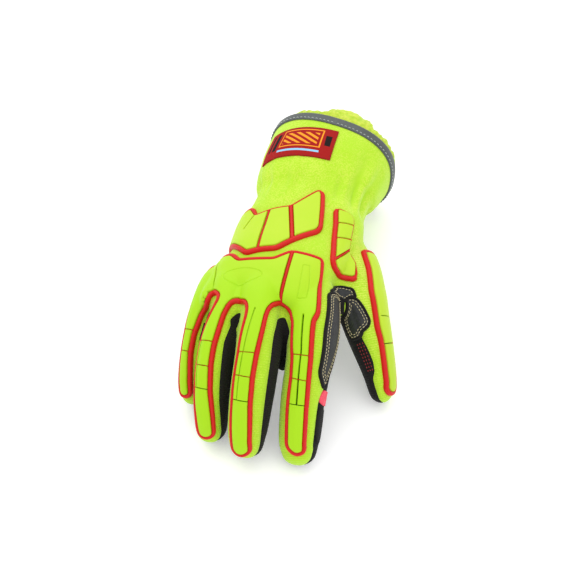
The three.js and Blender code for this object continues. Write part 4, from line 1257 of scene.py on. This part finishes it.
grained = leather("grained_dark_grey_synthetic_leather", "#2B2D2F", "#191B1C")
tan_thread = thread("tan_bonded_thread", "#C9BC92")
outlines = {
    "saddle_web": patch_outline(seen(WEB_PIECE), 2),
    "saddle_index": patch_outline(seen(STRIP) + limb_points(STRIP_SIDE)),
    "saddle_thumb": patch_outline(seen(PATCH) + limb_points(PATCH_SIDE)),
}
for name, line in outlines.items():
    sheet = raised([line], [], LEATHER_UP, 0.4, 0.2)
    piece = new_piece(f"{name}_leather", sheet)
    piece.data.materials.append(grained)
    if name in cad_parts:
        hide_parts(name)
    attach(piece, "root")
    cord = bmesh.new()
    add_bead(cord, line)
    bmesh.ops.recalc_face_normals(cord, faces=cord.faces[:])
    edging = new_piece(f"{name}_edging", cord)
    edging.data.materials.append(black_knit)
    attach(edging, "root")
    rows = bmesh.new()
    for depth in ((1.6,) if name == "saddle_web" else (1.6, 3.2)):
        add_stitches(rows, inset(line, depth), **LEATHER_STITCH, up=LEATHER_UP + 0.15)
    sewing = new_piece(f"{name}_stitches", rows)
    sewing.data.materials.append(tan_thread)
    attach(sewing, "root")

# Grip patches
# Black grip cloth is sewn on the index fingertip, and pink-red palm leather shows beside it. Dark red
# rows are sewn through the thumb's black front.
TIP = {"limb": "index", "rows": [(82, 66), (88, 62), (100, 61), (108, 66), (111, 78), (108, 92),
                                 (96, 100), (84, 96)]}
PINK = {"limb": "index", "rows": [(70, 80), (74, 66), (80, 64), (82, 76), (84, 100), (72, 110)]}

pink_leather = leather("pink_red_palm_leather", "#F4566A", "#E03A50")
for name, shape, material, slot, cut in (
    ("tip_patch_index", TIP, black_knit, "black_cloth", (0.029, 0.010)),
    ("palm_leather_index", PINK, pink_leather, "black_cloth", (0.014, 0.013)),
):
    sheet = raised([patch_outline(limb_points(shape), 2.0)], [], 0.9, 0.4, 0.1)
    piece = new_piece(f"{name}_patch", sheet)
    piece.data.materials.append(material)
    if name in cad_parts:
        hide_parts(name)
    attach(piece, "root")

GRIP_STITCH = {"length": 1.3, "gap": 1.1, "half": 0.35}  # mm
tread = bmesh.new()
for angles in ((-92, -84), (-100, -92), (-108, -100)):
    points = [cloth_tree.find_nearest(Vector(digits["thumb"].point(s, math.radians(a))))[0]
              for s, a in zip((81, 89, 97, 102), np.linspace(*angles, 4))]
    add_stitches(tread, drawn(points, 0, None), **GRIP_STITCH, up=0.1)
thumb_rows = new_piece("thumb_grip_stitches", tread)
thumb_rows.data.materials.append(thread("dark_red_polyester_thread", "#8C1C20"))
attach(thumb_rows, "root")

# Floor and light
# The glove lies on a light table of translucent white acrylic, faintly lit from below, in soft studio
# light, so that it has no dark shadow.
floor_form = bmesh.new()
bmesh.ops.create_grid(floor_form, x_segments=1, y_segments=1, size=3)
studio_floor = new_piece("studio_floor", floor_form)
acrylic, tree, output = blank("matt_translucent_white_acrylic")
shader = node(tree, "ShaderNodeBsdfPrincipled", {}, {
    "Base Color": colour("#F4F4F4"), "Roughness": 0.9, "Emission Color": (1, 1, 1, 1),
    "Emission Strength": 0.25,
})
tree.links.new(shader.outputs[0], output.inputs["Surface"])
studio_floor.data.materials.append(acrylic)

world = bpy.data.worlds.new("studio")
bpy.context.scene.world = world
world.use_nodes = True
world.node_tree.nodes["Background"].inputs["Color"].default_value = (1, 1, 1, 1)
world.node_tree.nodes["Background"].inputs["Strength"].default_value = 0.95


def add_lamp(name, place, aim, size, power):
    """Adds a square soft lamp that faces a point."""
    lamp = bpy.data.lights.new(name, "AREA")
    lamp.size = size
    lamp.energy = power
    holder = bpy.data.objects.new(name, lamp)
    bpy.context.scene.collection.objects.link(holder)
    holder.location = place
    holder.rotation_euler = (Vector(aim) - Vector(place)).to_track_quat("-Z", "Y").to_euler()


GLOVE_MIDDLE = (0, 0, 0.04)
add_lamp("key", (-0.5, 0.7, 1.3), GLOVE_MIDDLE, 2.0, 13)
add_lamp("fill", (0.8, -0.7, 1.0), GLOVE_MIDDLE, 1.4, 3)

bpy.context.scene.view_settings.view_transform = "Standard"
